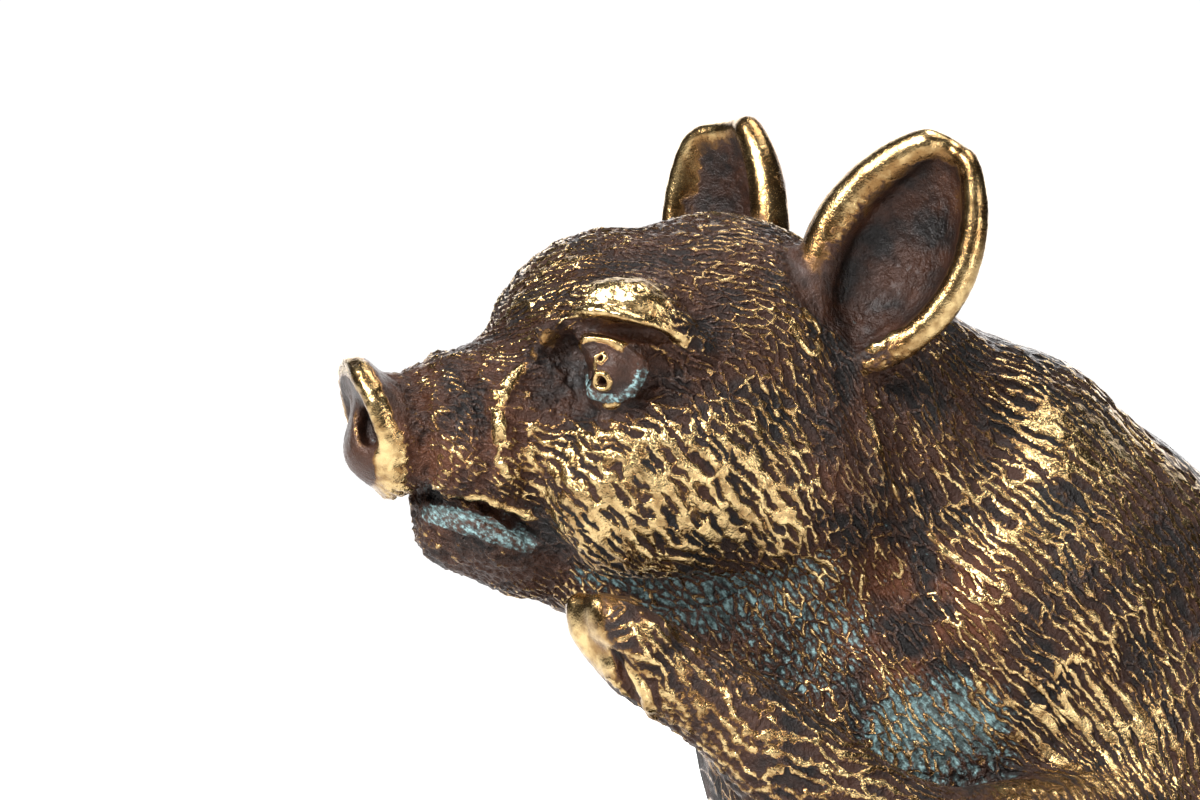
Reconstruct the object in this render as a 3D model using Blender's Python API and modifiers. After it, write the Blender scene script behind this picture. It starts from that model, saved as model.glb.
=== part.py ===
"""Small cast bronze of a sitting piglet that lifts its left trotter, on a low moulded plinth.

The piglet faces -Y, its left side is +X and +Z is up. The origin is the middle of the plinth's
underside. The figure is one casting: its pose and carving are written in parts, hundredths of
FIGURE_HEIGHT, measured from the figure's underside. The plinth is a separate casting below it.
"""

import math

import bmesh
import bpy
import numpy as np
from mathutils import Matrix, Vector
from mathutils.kdtree import KDTree

# Driving dimensions, in metres
FIGURE_HEIGHT = 0.074
SEAT_GAP = 0.0003
PLINTH_HEIGHT = 0.0075
PLINTH_MARGIN = 0.0022
PLINTH_STEP = 0.0016
PLINTH_STEP_HEIGHT = 0.0032
PLINTH_CORNER = 0.009
PLINTH_EDGE = 0.0007

# The figure's reach on each side of its own axis, in parts
PART = FIGURE_HEIGHT / 100.0
SNOUT_REACH = 51.6
RUMP_REACH = 50.4
SIDE_REACH = 29.0

# Ears, in parts and degrees: root, then turn to the side, lean outwards and lean back
EAR_LENGTH = 20.4
EAR_HALF_WIDTH = 6.5
EAR_DEPTH = 3.9
EAR_WALL = 2.1
LEFT_EAR = ((10.4, -13.8, 81.6), 46.0, 14.0, 27.0)
RIGHT_EAR = ((9.2, -17.0, 81.6), -24.0, 10.0, 4.0)

# Brow ridge from the nose to the temple: x, y, z and radius, in parts
BROW_RIDGE = ((8.6, -34.6, 84.6, 1.5), (9.4, -33.4, 85.8, 2.0), (10.8, -30.2, 85.6, 2.3),
              (11.9, -27.8, 84.2, 1.9), (12.5, -25.4, 82.2, 1.2))

# Grain of the modelling, in parts
CLAY_GRAIN = 0.62
WAX_GRAIN = 0.46
FIGURE_TRIANGLES = 8900
HEAD_DETAIL = 6.0

BRONZE = (0.230, 0.135, 0.062, 1.0)
PLINTH_BRONZE = (0.110, 0.068, 0.038, 1.0)


def clear_scene():
    """Removes what the file opens with."""
    for thing in list(bpy.data.objects):
        bpy.data.objects.remove(thing, do_unlink=True)


def make_material(name, colour, roughness):
    """A cast metal with one colour and roughness."""
    material = bpy.data.materials.new(name)
    material.use_nodes = True
    shader = material.node_tree.nodes["Principled BSDF"]
    shader.inputs["Base Color"].default_value = colour
    shader.inputs["Metallic"].default_value = 1.0
    shader.inputs["Roughness"].default_value = roughness
    return material


def place_figure():
    """From parts on the figure's axis to metres above the plinth's middle."""
    shift = (SNOUT_REACH - RUMP_REACH) / 2.0 * PART
    return Matrix.Translation((0.0, shift, PLINTH_HEIGHT + SEAT_GAP)) @ Matrix.Scale(PART, 4)


# Masses

def ellipsoid(bm, centre, radii, pitch=0.0, yaw=0.0):
    """A rounded mass; pitch lifts its front (-Y) end, yaw turns that end towards +X, in degrees."""
    turn = Matrix.Rotation(math.radians(yaw), 4, "Z") @ Matrix.Rotation(math.radians(-pitch), 4, "X")
    place = Matrix.Translation(centre) @ turn @ Matrix.Diagonal((*radii, 1.0))
    bmesh.ops.create_icosphere(bm, subdivisions=4, radius=1.0, matrix=place)


def pair(bm, centre, radii, pitch=0.0, yaw=0.0):
    """The same mass on both sides."""
    x, y, z = centre
    ellipsoid(bm, (x, y, z), radii, pitch, yaw)
    ellipsoid(bm, (-x, y, z), radii, pitch, -yaw)


def limb(bm, stations):
    """A rounded limb through (point, radius) stations."""
    for point, radius in stations:
        ellipsoid(bm, point, (radius, radius, radius))
    for (start, radius_a), (end, radius_b) in zip(stations, stations[1:]):
        a, b = Vector(start), Vector(end)
        turn = (b - a).to_track_quat("Z", "Y").to_matrix().to_4x4()
        place = Matrix.Translation((a + b) / 2.0) @ turn
        bmesh.ops.create_cone(bm, cap_ends=True, segments=32, radius1=radius_a, radius2=radius_b,
                              depth=(b - a).length, matrix=place)


def mirrored(stations):
    """The same stations on the other side."""
    return [((-x, y, z), radius) for (x, y, z), radius in stations]


def add_trunk(bm):
    """Neck, withers, chest, barrel and rump along a spine that slopes down to the seat."""
    ellipsoid(bm, (0, -8, 72.5), (13.0, 15, 15.5), pitch=10)
    ellipsoid(bm, (0, -17, 60), (11.5, 10, 9.5))
    ellipsoid(bm, (0, 2, 66.0), (15.5, 17, 17.5), pitch=30)
    ellipsoid(bm, (0, 8, 57.5), (18.0, 20, 20.5), pitch=30)
    ellipsoid(bm, (0, -5.5, 51.0), (15.5, 16.0, 18.0))
    ellipsoid(bm, (0, 15, 45.5), (20.5, 24, 25))
    ellipsoid(bm, (0, 22, 33), (21.5, 26, 25))
    ellipsoid(bm, (0, 24, 20), (21.0, 25, 22))
    pair(bm, (10.0, 3, 57), (8.5, 12, 14), pitch=-12)


def add_hind_legs(bm):
    """Folded thighs, with the feet flat on the plinth and pointing forward."""
    pair(bm, (17.0, 19, 17), (9.6, 18.0, 16.5), pitch=-12)
    pair(bm, (18.6, 4, 15.5), (7.2, 9.0, 11.0), pitch=-10)
    foot = [((20.0, 28, 5.4), 5.8), ((20.4, 11, 4.8), 5.2), ((19.8, -2, 4.3), 4.3)]
    limb(bm, foot)
    limb(bm, mirrored(foot))


def add_standing_foreleg(bm):
    """The right foreleg carries the chest."""
    limb(bm, [((-14.0, 1.0, 51.0), 11.5), ((-16.5, -4.0, 38.0), 9.0), ((-16.4, -9.5, 26.0), 6.2),
              ((-15.8, -13.5, 17.0), 5.3), ((-15.4, -16.5, 8.5), 4.3), ((-15.2, -18.0, 4.6), 4.4)])


def add_raised_foreleg(bm):
    """The left foreleg is lifted, with the trotter below the chin."""
    limb(bm, [((16.0, 13.0, 40.0), 9.0), ((20.4, 3.0, 40.5), 8.0), ((21.2, -8.0, 40.5), 7.0),
              ((20.6, -14.0, 43.0), 6.6), ((19.2, -19.0, 48.6), 5.2), ((17.9, -23.8, 53.2), 4.3),
              ((16.6, -28.2, 56.2), 3.8), ((15.8, -31.6, 58.4), 3.7)])


def add_head(bm):
    """Skull, brows, jowls, muzzle and lower jaw."""
    ellipsoid(bm, (0, -20.5, 78.6), (13.2, 15.5, 14.8))
    ellipsoid(bm, (0, -29.0, 80.8), (11.6, 10.6, 11.4))
    pair(bm, (7.8, -29.6, 84.0), (4.6, 6.4, 4.8), pitch=-20, yaw=14)
    pair(bm, (7.6, -25.0, 72.2), (7.0, 12.0, 9.4), pitch=-10, yaw=8)
    pair(bm, (5.6, -15.0, 71.0), (8.6, 13.5, 13.0), pitch=-6)
    ellipsoid(bm, (0, -25.0, 69.0), (11.0, 13.0, 10.0), pitch=-14)
    limb(bm, [((0, -33.0, 76.2), 9.8), ((0, -38.5, 75.6), 7.8), ((0, -43.0, 75.4), 6.4),
              ((0, -47.4, 75.6), 5.0)])
    pair(bm, (3.4, -40.5, 73.6), (4.4, 6.4, 4.6), pitch=-4, yaw=5)
    limb(bm, [((0, -27.0, 68.0), 8.0), ((0, -36.4, 67.2), 5.4), ((0, -42.2, 68.0), 3.9)])
    pair(bm, (3.0, -37.0, 68.2), (3.8, 6.5, 4.2), pitch=-6, yaw=6)


# Separate small forms, joined to the masses before the last smoothing

def add_snout_disc(bm):
    """The disc at the end of the snout, its top forward of its bottom."""
    centre = Vector((0.0, -48.9, 75.9))
    tilt = Matrix.Rotation(math.radians(17.8), 4, "X")
    lay_down = Matrix.Rotation(math.radians(90.0), 4, "X")
    narrow = Matrix.Diagonal((0.84, 1.0, 1.0, 1.0))
    place = Matrix.Translation(centre) @ tilt @ narrow @ lay_down
    made = bmesh.ops.create_cone(bm, cap_ends=True, segments=64, radius1=5.4, radius2=6.1, depth=2.8,
                                 matrix=place)
    disc_edges = {edge for vert in made["verts"] for edge in vert.link_edges if len(edge.link_faces) == 2
                  and edge.calc_face_angle() > 0.8}
    bmesh.ops.bevel(bm, geom=list(disc_edges), offset=1.1, segments=4, affect="EDGES", profile=0.6)


def ear_point(along, across, side, pose):
    """A point of the ear's middle sheet: along runs from root to tip, across from -1 to 1."""
    root, turn, lean, back = pose
    leaf = math.sin(math.pi * min(1.0, 0.03 + 0.97 * along) ** 0.85) ** 0.7
    cup = (1.0 - across * across) * math.sin(math.pi * min(1.0, 0.1 + 0.9 * along)) ** 0.7
    spot = Vector((EAR_HALF_WIDTH * leaf * across, EAR_DEPTH * cup, EAR_LENGTH * along))
    spot.rotate(Matrix.Rotation(math.radians(turn), 4, "Z"))
    spot.rotate(Matrix.Rotation(math.radians(-back), 4, "X"))
    spot.rotate(Matrix.Rotation(math.radians(lean), 4, "Y"))
    place = Vector(root) + spot
    place.x *= side
    return place


def ear_sheet(name, side, pose):
    """One cupped ear as a sheet with a thickness, open towards the front and the outside."""
    rows, columns = 18, 14
    bm = bmesh.new()
    bmesh.ops.create_grid(bm, x_segments=columns, y_segments=rows, size=1.0)
    for vert in bm.verts:
        vert.co = ear_point((vert.co.y + 1.0) / 2.0 * 0.99, vert.co.x, side, pose)
    bmesh.ops.recalc_face_normals(bm, faces=bm.faces)
    mesh = bpy.data.meshes.new(name)
    bm.to_mesh(mesh)
    bm.free()
    sheet = bpy.data.objects.new(name, mesh)
    bpy.context.scene.collection.objects.link(sheet)
    wall = sheet.modifiers.new("wall", "SOLIDIFY")
    wall.thickness = EAR_WALL
    wall.offset = 0.0
    return sheet


def add_toes(bm, coronet, tip, spread, radius):
    """A cloven trotter: two tapered toes from the coronet to the tip."""
    for side in (-1.0, 1.0):
        offset = Vector(spread) * side
        start = Vector(coronet) + offset
        end = Vector(tip) + offset * 0.85
        middle = start.lerp(end, 0.55)
        limb(bm, [(start, radius), (middle, radius * 0.86), (end, radius * 0.46)])


def add_eye(bm, side):
    """An eyeball in two lids, the upper one heavier, below a brow ridge."""
    centre = Vector((10.7 * side, -32.2, 80.7))
    outward = Vector((0.83 * side, -0.55, 0.06)).normalized()
    across = Vector((0.0, 0.0, 1.0)).cross(outward).normalized()
    above = outward.cross(across)
    ellipsoid(bm, centre, (2.1, 2.1, 2.1))
    for reach, thick, first, last in ((2.1, 0.85, -20.0, 200.0), (2.3, 0.6, 190.0, 350.0)):
        lid = []
        for step in range(9):
            angle = math.radians(first + (last - first) * step / 8.0)
            spot = across * (2.9 * math.cos(angle)) + above * (reach * math.sin(angle)) + outward * 0.9
            lid.append((centre + spot, thick * (0.7 + 0.3 * math.sin(math.pi * step / 8.0))))
        limb(bm, lid)
    limb(bm, [((x * side, y, z), radius) for x, y, z, radius in BROW_RIDGE])


def add_small_forms(bm):
    """Eyes, snout disc, trotters and the curled tail."""
    add_snout_disc(bm)
    add_eye(bm, 1.0)
    add_eye(bm, -1.0)
    add_toes(bm, (15.6, -32.4, 59.2), (14.8, -35.6, 62.4), (1.7, 0.5, 0.1), 2.8)
    add_toes(bm, (-15.2, -19.4, 3.2), (-15.2, -25.2, 1.0), (2.1, 0.2, 0.0), 3.4)
    for side in (-1.0, 1.0):
        add_toes(bm, (19.7 * side, -4.0, 3.2), (19.7 * side, -10.5, 1.0), (2.1, 0.2, 0.0), 3.4)
    turns = 26
    tail = []
    for step in range(turns + 1):
        along = step / turns
        angle = math.radians(-70.0 + 430.0 * along)
        reach = 5.6 - 2.8 * along
        tail.append(((reach * math.cos(angle) + 1.0, 47.6 + 1.6 * along, 24.0 + reach * math.sin(angle)),
                     2.3 - 1.0 * along))
    limb(bm, tail)


# Modelling steps

def object_from(bm, name):
    """Puts a mesh in the scene."""
    mesh = bpy.data.meshes.new(name)
    bm.to_mesh(mesh)
    bm.free()
    thing = bpy.data.objects.new(name, mesh)
    bpy.context.scene.collection.objects.link(thing)
    return thing


def settle(thing):
    """Replaces an object's mesh with what its modifiers make of it."""
    depsgraph = bpy.context.evaluated_depsgraph_get()
    mesh = bpy.data.meshes.new_from_object(thing.evaluated_get(depsgraph))
    thing.modifiers.clear()
    thing.data = mesh


def fuse(things, grain, rounds):
    """Melts overlapping closed forms into one skin and smooths it."""
    bm = bmesh.new()
    for thing in things:
        bm.from_mesh(thing.data)
        bpy.data.objects.remove(thing, do_unlink=True)
    fused = object_from(bm, "wax")
    melt = fused.modifiers.new("melt", "REMESH")
    melt.mode = "VOXEL"
    melt.voxel_size = grain
    soften = fused.modifiers.new("soften", "SMOOTH")
    soften.factor = 0.5
    soften.iterations = rounds
    settle(fused)
    keep_outer_skin(fused)
    return fused


def keep_outer_skin(thing):
    """Deletes inner bubbles, so that one closed skin is left."""
    bm = bmesh.new()
    bm.from_mesh(thing.data)
    unseen = set(bm.verts)
    groups = []
    while unseen:
        front = [unseen.pop()]
        group = list(front)
        while front:
            vert = front.pop()
            for edge in vert.link_edges:
                other = edge.other_vert(vert)
                if other in unseen:
                    unseen.remove(other)
                    front.append(other)
                    group.append(other)
        groups.append(group)
    groups.sort(key=len)
    for group in groups[:-1]:
        bmesh.ops.delete(bm, geom=group, context="VERTS")
    bm.to_mesh(thing.data)
    bm.free()


def smooth_path(points, steps=8):
    """Points along a smooth curve through the given ones."""
    if len(points) < 3:
        return np.array(points, dtype=float)
    ends = [2 * np.array(points[0]) - np.array(points[1]), 2 * np.array(points[-1]) - np.array(points[-2])]
    knots = np.array([ends[0], *points, ends[1]], dtype=float)
    path = []
    for a, b, c, d in zip(knots, knots[1:], knots[2:], knots[3:]):
        for t in np.linspace(0.0, 1.0, steps, endpoint=False):
            path.append(0.5 * (2 * b + (c - a) * t + (2 * a - 5 * b + 4 * c - d) * t ** 2
                               + (3 * b - a - 3 * c + d) * t ** 3))
    path.append(knots[-2])
    return np.array(path)


class Skin:
    """The surface of a mesh, worked with strokes of a rounded tool."""

    def __init__(self, mesh):
        self.mesh = mesh
        self.places = np.empty(len(mesh.vertices) * 3)
        mesh.vertices.foreach_get("co", self.places)
        self.places = self.places.reshape(-1, 3)
        self.normals = np.empty(len(mesh.vertices) * 3)
        mesh.vertices.foreach_get("normal", self.normals)
        self.normals = self.normals.reshape(-1, 3)
        self.tree = KDTree(len(self.places))
        for index, place in enumerate(self.places):
            self.tree.insert(place, index)
        self.tree.balance()

    def stroke(self, points, width, height, ends=1.0):
        """Raises (or sinks, if height is negative) the skin along a path laid on it."""
        snapped = [self.places[self.tree.find(point)[1]] for point in points]
        path = smooth_path(snapped)
        low, high = path.min(axis=0) - width, path.max(axis=0) + width
        near = np.where(np.all((self.places > low) & (self.places < high), axis=1))[0]
        spots = self.places[near]
        best = np.full(len(near), np.inf)
        share = np.zeros(len(near))
        count = max(1, len(path) - 1)
        for index in range(count):
            a = path[index]
            b = path[min(index + 1, len(path) - 1)]
            run = b - a
            size = max(1e-9, float(run @ run))
            t = np.clip((spots - a) @ run / size, 0.0, 1.0)
            gap = np.linalg.norm(spots - (a + t[:, None] * run), axis=1)
            closer = gap < best
            best[closer] = gap[closer]
            share[closer] = (index + t[closer]) / count
        form = np.clip(1.0 - (best / width) ** 2, 0.0, 1.0) ** 2
        if len(path) > 1:
            form = form * (ends + (1.0 - ends) * np.sin(math.pi * share) ** 0.6)
        self.places[near] += self.normals[near] * (height * form)[:, None]

    def both(self, points, width, height, ends=1.0):
        """The same stroke on the left and the right."""
        self.stroke(points, width, height, ends)
        self.stroke([(-x, y, z) for x, y, z in points], width, height, ends)

    def finish(self):
        """Writes the worked surface back."""
        self.mesh.vertices.foreach_set("co", self.places.reshape(-1))
        self.mesh.update()


def model_face(mesh):
    """Hollows and ridges of the face, before the small forms are set in."""
    skin = Skin(mesh)
    skin.both([(11.2, -32.4, 80.6)], 4.4, -1.3)
    skin.both([(7.8, -36.8, 80.0), (8.8, -35.8, 78.6)], 3.2, -1.0)
    skin.both([(7.6, -36.4, 83.6)], 2.4, 0.9)
    skin.both([(6.8, -40.4, 80.0), (8.4, -40.6, 76.0), (8.2, -40.0, 72.0), (7.0, -40.0, 69.6)], 1.9, 0.8,
              ends=0.3)
    skin.both([(13.6, -24.0, 75.0), (14.6, -19.0, 70.0)], 6.0, 0.8)
    skin.both([(12.0, -9.0, 80.0), (13.4, -8.0, 72.0), (13.6, -10.0, 65.0)], 3.0, -0.7, ends=0.2)
    skin.finish()


def carve_details(mesh):
    """Mouth, lips, nostrils and the cut above the raised trotter."""
    skin = Skin(mesh)
    mouth = [(0.0, -47.0, 70.0), (3.6, -45.4, 69.6), (6.0, -41.6, 69.2), (7.4, -38.6, 67.2)]
    skin.both(mouth, 1.5, -1.0, ends=0.4)
    skin.both([(4.6, -44.4, 68.2), (6.4, -40.6, 67.4)], 1.2, 0.5, ends=0.3)
    skin.both([(0.0, -43.6, 82.0), (3.0, -43.4, 81.4), (5.2, -43.6, 79.0)], 1.0, 0.5, ends=0.3)
    skin.stroke([(0.0, -50.4, 76.2)], 4.0, -0.9)
    skin.both([(2.2, -50.4, 77.0), (2.5, -50.0, 75.2)], 1.5, -1.8)
    skin.both([(15.2, -33.8, 60.4), (16.8, -32.0, 59.2), (17.6, -31.0, 57.0)], 1.2, -0.7, ends=0.3)
    skin.finish()


def cut_seat(thing):
    """Cuts the figure flat where it sits on the plinth."""
    bm = bmesh.new()
    bm.from_mesh(thing.data)
    geom = list(bm.verts) + list(bm.edges) + list(bm.faces)
    cut = bmesh.ops.bisect_plane(bm, geom=geom, plane_co=(0, 0, 0), plane_no=(0, 0, -1), clear_outer=True)
    edges = [item for item in cut["geom_cut"] if isinstance(item, bmesh.types.BMEdge)]
    bmesh.ops.holes_fill(bm, edges=edges)
    bmesh.ops.triangulate(bm, faces=list(bm.faces))
    bm.to_mesh(thing.data)
    bm.free()


def thin_out(thing, triangles):
    """Reduces the skin to a number of triangles, keeping most of them on the head."""
    group = thing.vertex_groups.new(name="plain")
    for vert in thing.data.vertices:
        x, y, z = vert.co
        on_head = y < -10.0 and z > 62.0
        on_trotter = x > 10.0 and y < -26.0 and z > 50.0
        on_ear = z > 80.0 and y < 2.0
        share = 0.12 if on_head or on_trotter or on_ear else 1.0
        group.add([vert.index], share, "REPLACE")
    thin = thing.modifiers.new("thin", "DECIMATE")
    thin.vertex_group = group.name
    thin.vertex_group_factor = HEAD_DETAIL
    thin.use_collapse_triangulate = True
    thin.ratio = triangles / max(1, len(thing.data.polygons))
    settle(thing)
    thing.vertex_groups.clear()


def make_piglet(collection, material):
    """The figure, modelled in parts and then placed on the plinth."""
    trunk = bmesh.new()
    add_trunk(trunk)
    add_hind_legs(trunk)
    body = fuse([object_from(trunk, "trunk")], CLAY_GRAIN, 30)
    limbs = bmesh.new()
    add_standing_foreleg(limbs)
    add_raised_foreleg(limbs)
    add_head(limbs)
    body = fuse([body, object_from(limbs, "limbs")], CLAY_GRAIN, 14)
    model_face(body.data)

    forms = bmesh.new()
    add_small_forms(forms)
    ears = [ear_sheet("left_ear", 1.0, LEFT_EAR), ear_sheet("right_ear", -1.0, RIGHT_EAR)]
    for ear in ears:
        settle(ear)
    figure = fuse([body, object_from(forms, "forms"), *ears], WAX_GRAIN, 3)
    carve_details(figure.data)
    cut_seat(figure)
    thin_out(figure, FIGURE_TRIANGLES)
    figure.name = "piglet"
    figure.data.name = "piglet"
    figure.data.transform(place_figure())
    figure.data.shade_smooth()
    figure.data.materials.clear()
    figure.data.materials.append(material)
    bpy.context.scene.collection.objects.unlink(figure)
    collection.objects.link(figure)
    return figure


def make_plinth(collection, material):
    """A low slab with rounded corners and a narrower upper step, under the whole figure."""
    length = (SNOUT_REACH + RUMP_REACH) * PART + 2.0 * PLINTH_MARGIN
    width = 2.0 * (SIDE_REACH * PART + PLINTH_MARGIN)
    foot = PLINTH_HEIGHT - PLINTH_STEP_HEIGHT
    bm = bmesh.new()
    size = Matrix.Diagonal((width, length, foot, 1.0))
    bmesh.ops.create_cube(bm, size=1.0, matrix=Matrix.Translation((0, 0, foot / 2.0)) @ size)
    uprights = [edge for edge in bm.edges if abs(edge.verts[0].co.z - edge.verts[1].co.z) > foot / 2.0]
    bmesh.ops.bevel(bm, geom=uprights, offset=PLINTH_CORNER, segments=7, profile=0.5, affect="EDGES")
    top = max(bm.faces, key=lambda face: face.calc_center_median().z)
    bmesh.ops.inset_region(bm, faces=[top], thickness=PLINTH_STEP)
    raised = bmesh.ops.extrude_face_region(bm, geom=[top])
    lifted = [item for item in raised["geom"] if isinstance(item, bmesh.types.BMVert)]
    bmesh.ops.translate(bm, verts=lifted, vec=(0, 0, PLINTH_STEP_HEIGHT))
    bmesh.ops.delete(bm, geom=[top], context="FACES_ONLY")
    mesh = bpy.data.meshes.new("plinth")
    bm.to_mesh(mesh)
    bm.free()
    plinth = bpy.data.objects.new("plinth", mesh)
    rounding = plinth.modifiers.new("rounded edges", "BEVEL")
    rounding.width = PLINTH_EDGE
    rounding.segments = 2
    rounding.limit_method = "ANGLE"
    mesh.shade_smooth()
    mesh.set_sharp_from_angle(angle=math.radians(35.0))
    mesh.materials.append(material)
    collection.objects.link(plinth)
    return plinth


def main():
    """Builds the piglet and its plinth."""
    clear_scene()
    collection = bpy.data.collections.new("piglet_sculpture")
    bpy.context.scene.collection.children.link(collection)
    make_piglet(collection, make_material("bronze", BRONZE, 0.36))
    make_plinth(collection, make_material("plinth_bronze", PLINTH_BRONZE, 0.45))


main()
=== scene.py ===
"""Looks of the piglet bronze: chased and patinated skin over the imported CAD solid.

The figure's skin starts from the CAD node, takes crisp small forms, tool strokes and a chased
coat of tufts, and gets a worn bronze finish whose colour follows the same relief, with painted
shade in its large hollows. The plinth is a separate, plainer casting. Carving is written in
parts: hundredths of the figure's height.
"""

import logging
import math
from collections.abc import Iterable, Sequence
from dataclasses import dataclass
from enum import Enum

import bmesh
import bpy
import numpy as np
from mathutils import Matrix, Vector
from mathutils.kdtree import KDTree


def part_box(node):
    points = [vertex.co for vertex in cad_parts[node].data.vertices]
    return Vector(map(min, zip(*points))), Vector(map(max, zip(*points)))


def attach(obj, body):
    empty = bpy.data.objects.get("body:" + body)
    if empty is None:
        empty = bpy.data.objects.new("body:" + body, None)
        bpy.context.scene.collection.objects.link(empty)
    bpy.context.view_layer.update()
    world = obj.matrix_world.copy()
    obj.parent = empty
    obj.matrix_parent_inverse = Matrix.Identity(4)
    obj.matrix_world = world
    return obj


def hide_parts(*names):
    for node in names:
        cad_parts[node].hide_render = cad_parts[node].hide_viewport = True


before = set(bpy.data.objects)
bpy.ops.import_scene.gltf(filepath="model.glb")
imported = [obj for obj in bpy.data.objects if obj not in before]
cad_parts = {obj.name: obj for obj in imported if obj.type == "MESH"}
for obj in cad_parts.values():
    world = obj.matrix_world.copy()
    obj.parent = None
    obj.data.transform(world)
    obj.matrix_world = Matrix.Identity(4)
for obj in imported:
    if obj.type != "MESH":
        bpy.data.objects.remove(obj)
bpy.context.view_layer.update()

log = logging.getLogger("piglet")

Array = np.ndarray
Box = tuple[Vector, Vector]
Colour = tuple[float, float, float, float]
Triple = tuple[float, float, float]
Stations = Sequence[tuple[Sequence[float], float]]

# The figure's own measure: its height from the seat to the far ear's tip, and its reach, in parts
FIGURE_PARTS = 101.9
SNOUT_REACH = 51.6
RUMP_REACH = 50.4

MILLIMETRES = 1000.0
BOTH_SIDES = (1.0, -1.0)


class Slot(str, Enum):
    """Material slots of the record."""

    BRONZE = "bronze"
    PLINTH = "plinth_bronze"


class Mask(str, Enum):
    """Per-vertex values that steer the relief and the finish."""

    FUR = "fur"
    GRIT = "grit"
    POLISH = "polish"
    VERDIGRIS = "verdigris"
    RUST = "rust"
    CAVITY = "cavity"
    HOLLOW = "hollow"
    COMB = "comb"


@dataclass(frozen=True)
class Patch:
    """A soft-edged region of the figure, in parts."""

    centre: Triple
    radii: Triple
    value: float


@dataclass(frozen=True)
class Stroke:
    """One pass of a rounded tool over the skin, in parts; both sides unless told otherwise.

    A stroke with a polish, from 0 for dark to 1 for bright, also sets that value along its path.
    """

    points: tuple[tuple[float, ...], ...]
    width: float
    height: float
    ends: float = 1.0
    mirrored: bool = True
    polish: float = -1.0
    verdigris: float = -1.0


@dataclass(frozen=True)
class Flow:
    """Direction of the coat at one place, with the size of a tuft there, in parts and millimetres."""

    place: Triple
    direction: Triple
    width: float

    def mirrored(self) -> "Flow":
        """Returns the same flow on the other side."""
        (x, *place), (across, *direction) = self.place, self.direction
        return Flow((-x, *place), (-across, *direction), self.width)


class Measure:
    """Turns parts into metres and back, from the CAD figure's own box."""

    def __init__(self, box: Box) -> None:
        """Takes the size of a part and the seat's place from the box.

        Args:
            box: lowest and highest corner of the CAD figure, in metres.
        """
        low, high = box
        self.part = (high.z - low.z) / FIGURE_PARTS
        self.origin = np.array([0.0, (SNOUT_REACH - RUMP_REACH) / 2.0 * self.part, low.z])

    def metres(self, places: Sequence[float] | Array) -> Array:
        """Turns places in parts into metres."""
        return np.asarray(places, dtype=float) * self.part + self.origin

    def parts(self, places: Sequence[float] | Array) -> Array:
        """Turns places in metres into parts."""
        return (np.asarray(places, dtype=float) - self.origin) / self.part

    def matrix(self) -> Matrix:
        """Returns the matrix from parts to metres."""
        return Matrix.Translation(Vector(self.origin)) @ Matrix.Scale(self.part, 4)


# Shared helpers

def search_tree(places: Iterable[Sequence[float]]) -> KDTree:
    """Builds a search tree.

    Args:
        places: the points to find, in parts.

    Returns:
        The balanced tree, with each point's number as its index.
    """
    spots = list(places)
    tree = KDTree(len(spots))
    for index, spot in enumerate(spots):
        tree.insert(spot, index)
    tree.balance()
    return tree


def settle(thing: bpy.types.Object) -> None:
    """Replaces an object's mesh with what its modifiers make of it.

    Args:
        thing: the object, whose modifiers are then removed.
    """
    depsgraph = bpy.context.evaluated_depsgraph_get()
    mesh = bpy.data.meshes.new_from_object(thing.evaluated_get(depsgraph))
    thing.modifiers.clear()
    thing.data = mesh


def object_from(bm: bmesh.types.BMesh, name: str) -> bpy.types.Object:
    """Puts a bmesh in the scene as an object.

    Args:
        bm: the shape, which is freed.
        name: the object's name.

    Returns:
        The new object.
    """
    mesh = bpy.data.meshes.new(name)
    bm.to_mesh(mesh)
    bm.free()
    thing = bpy.data.objects.new(name, mesh)
    bpy.context.scene.collection.objects.link(thing)
    return thing


def ball(bm: bmesh.types.BMesh, centre: Sequence[float], radius: float, subdivisions: int) -> None:
    """Adds a ball to a bmesh.

    Args:
        bm: the shape to add to.
        centre: the ball's centre.
        radius: its radius.
        subdivisions: how finely it is divided.
    """
    place = Matrix.Translation(centre) @ Matrix.Diagonal((radius, radius, radius, 1.0))
    bmesh.ops.create_icosphere(bm, subdivisions=subdivisions, radius=1.0, matrix=place)


def limb(bm: bmesh.types.BMesh, stations: Stations) -> None:
    """Adds a rounded limb to a bmesh.

    Args:
        bm: the shape to add to.
        stations: the points it runs through, each with its radius.
    """
    for point, radius in stations:
        ball(bm, point, radius, 4)
    for (start, radius_a), (end, radius_b) in zip(stations, stations[1:]):
        a, b = Vector(start), Vector(end)
        turn = (b - a).to_track_quat("Z", "Y").to_matrix().to_4x4()
        place = Matrix.Translation((a + b) / 2.0) @ turn
        bmesh.ops.create_cone(bm, cap_ends=True, segments=48, radius1=radius_a, radius2=radius_b,
                              depth=(b - a).length, matrix=place)


# Small forms, modelled again more finely than in the CAD solid

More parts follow.
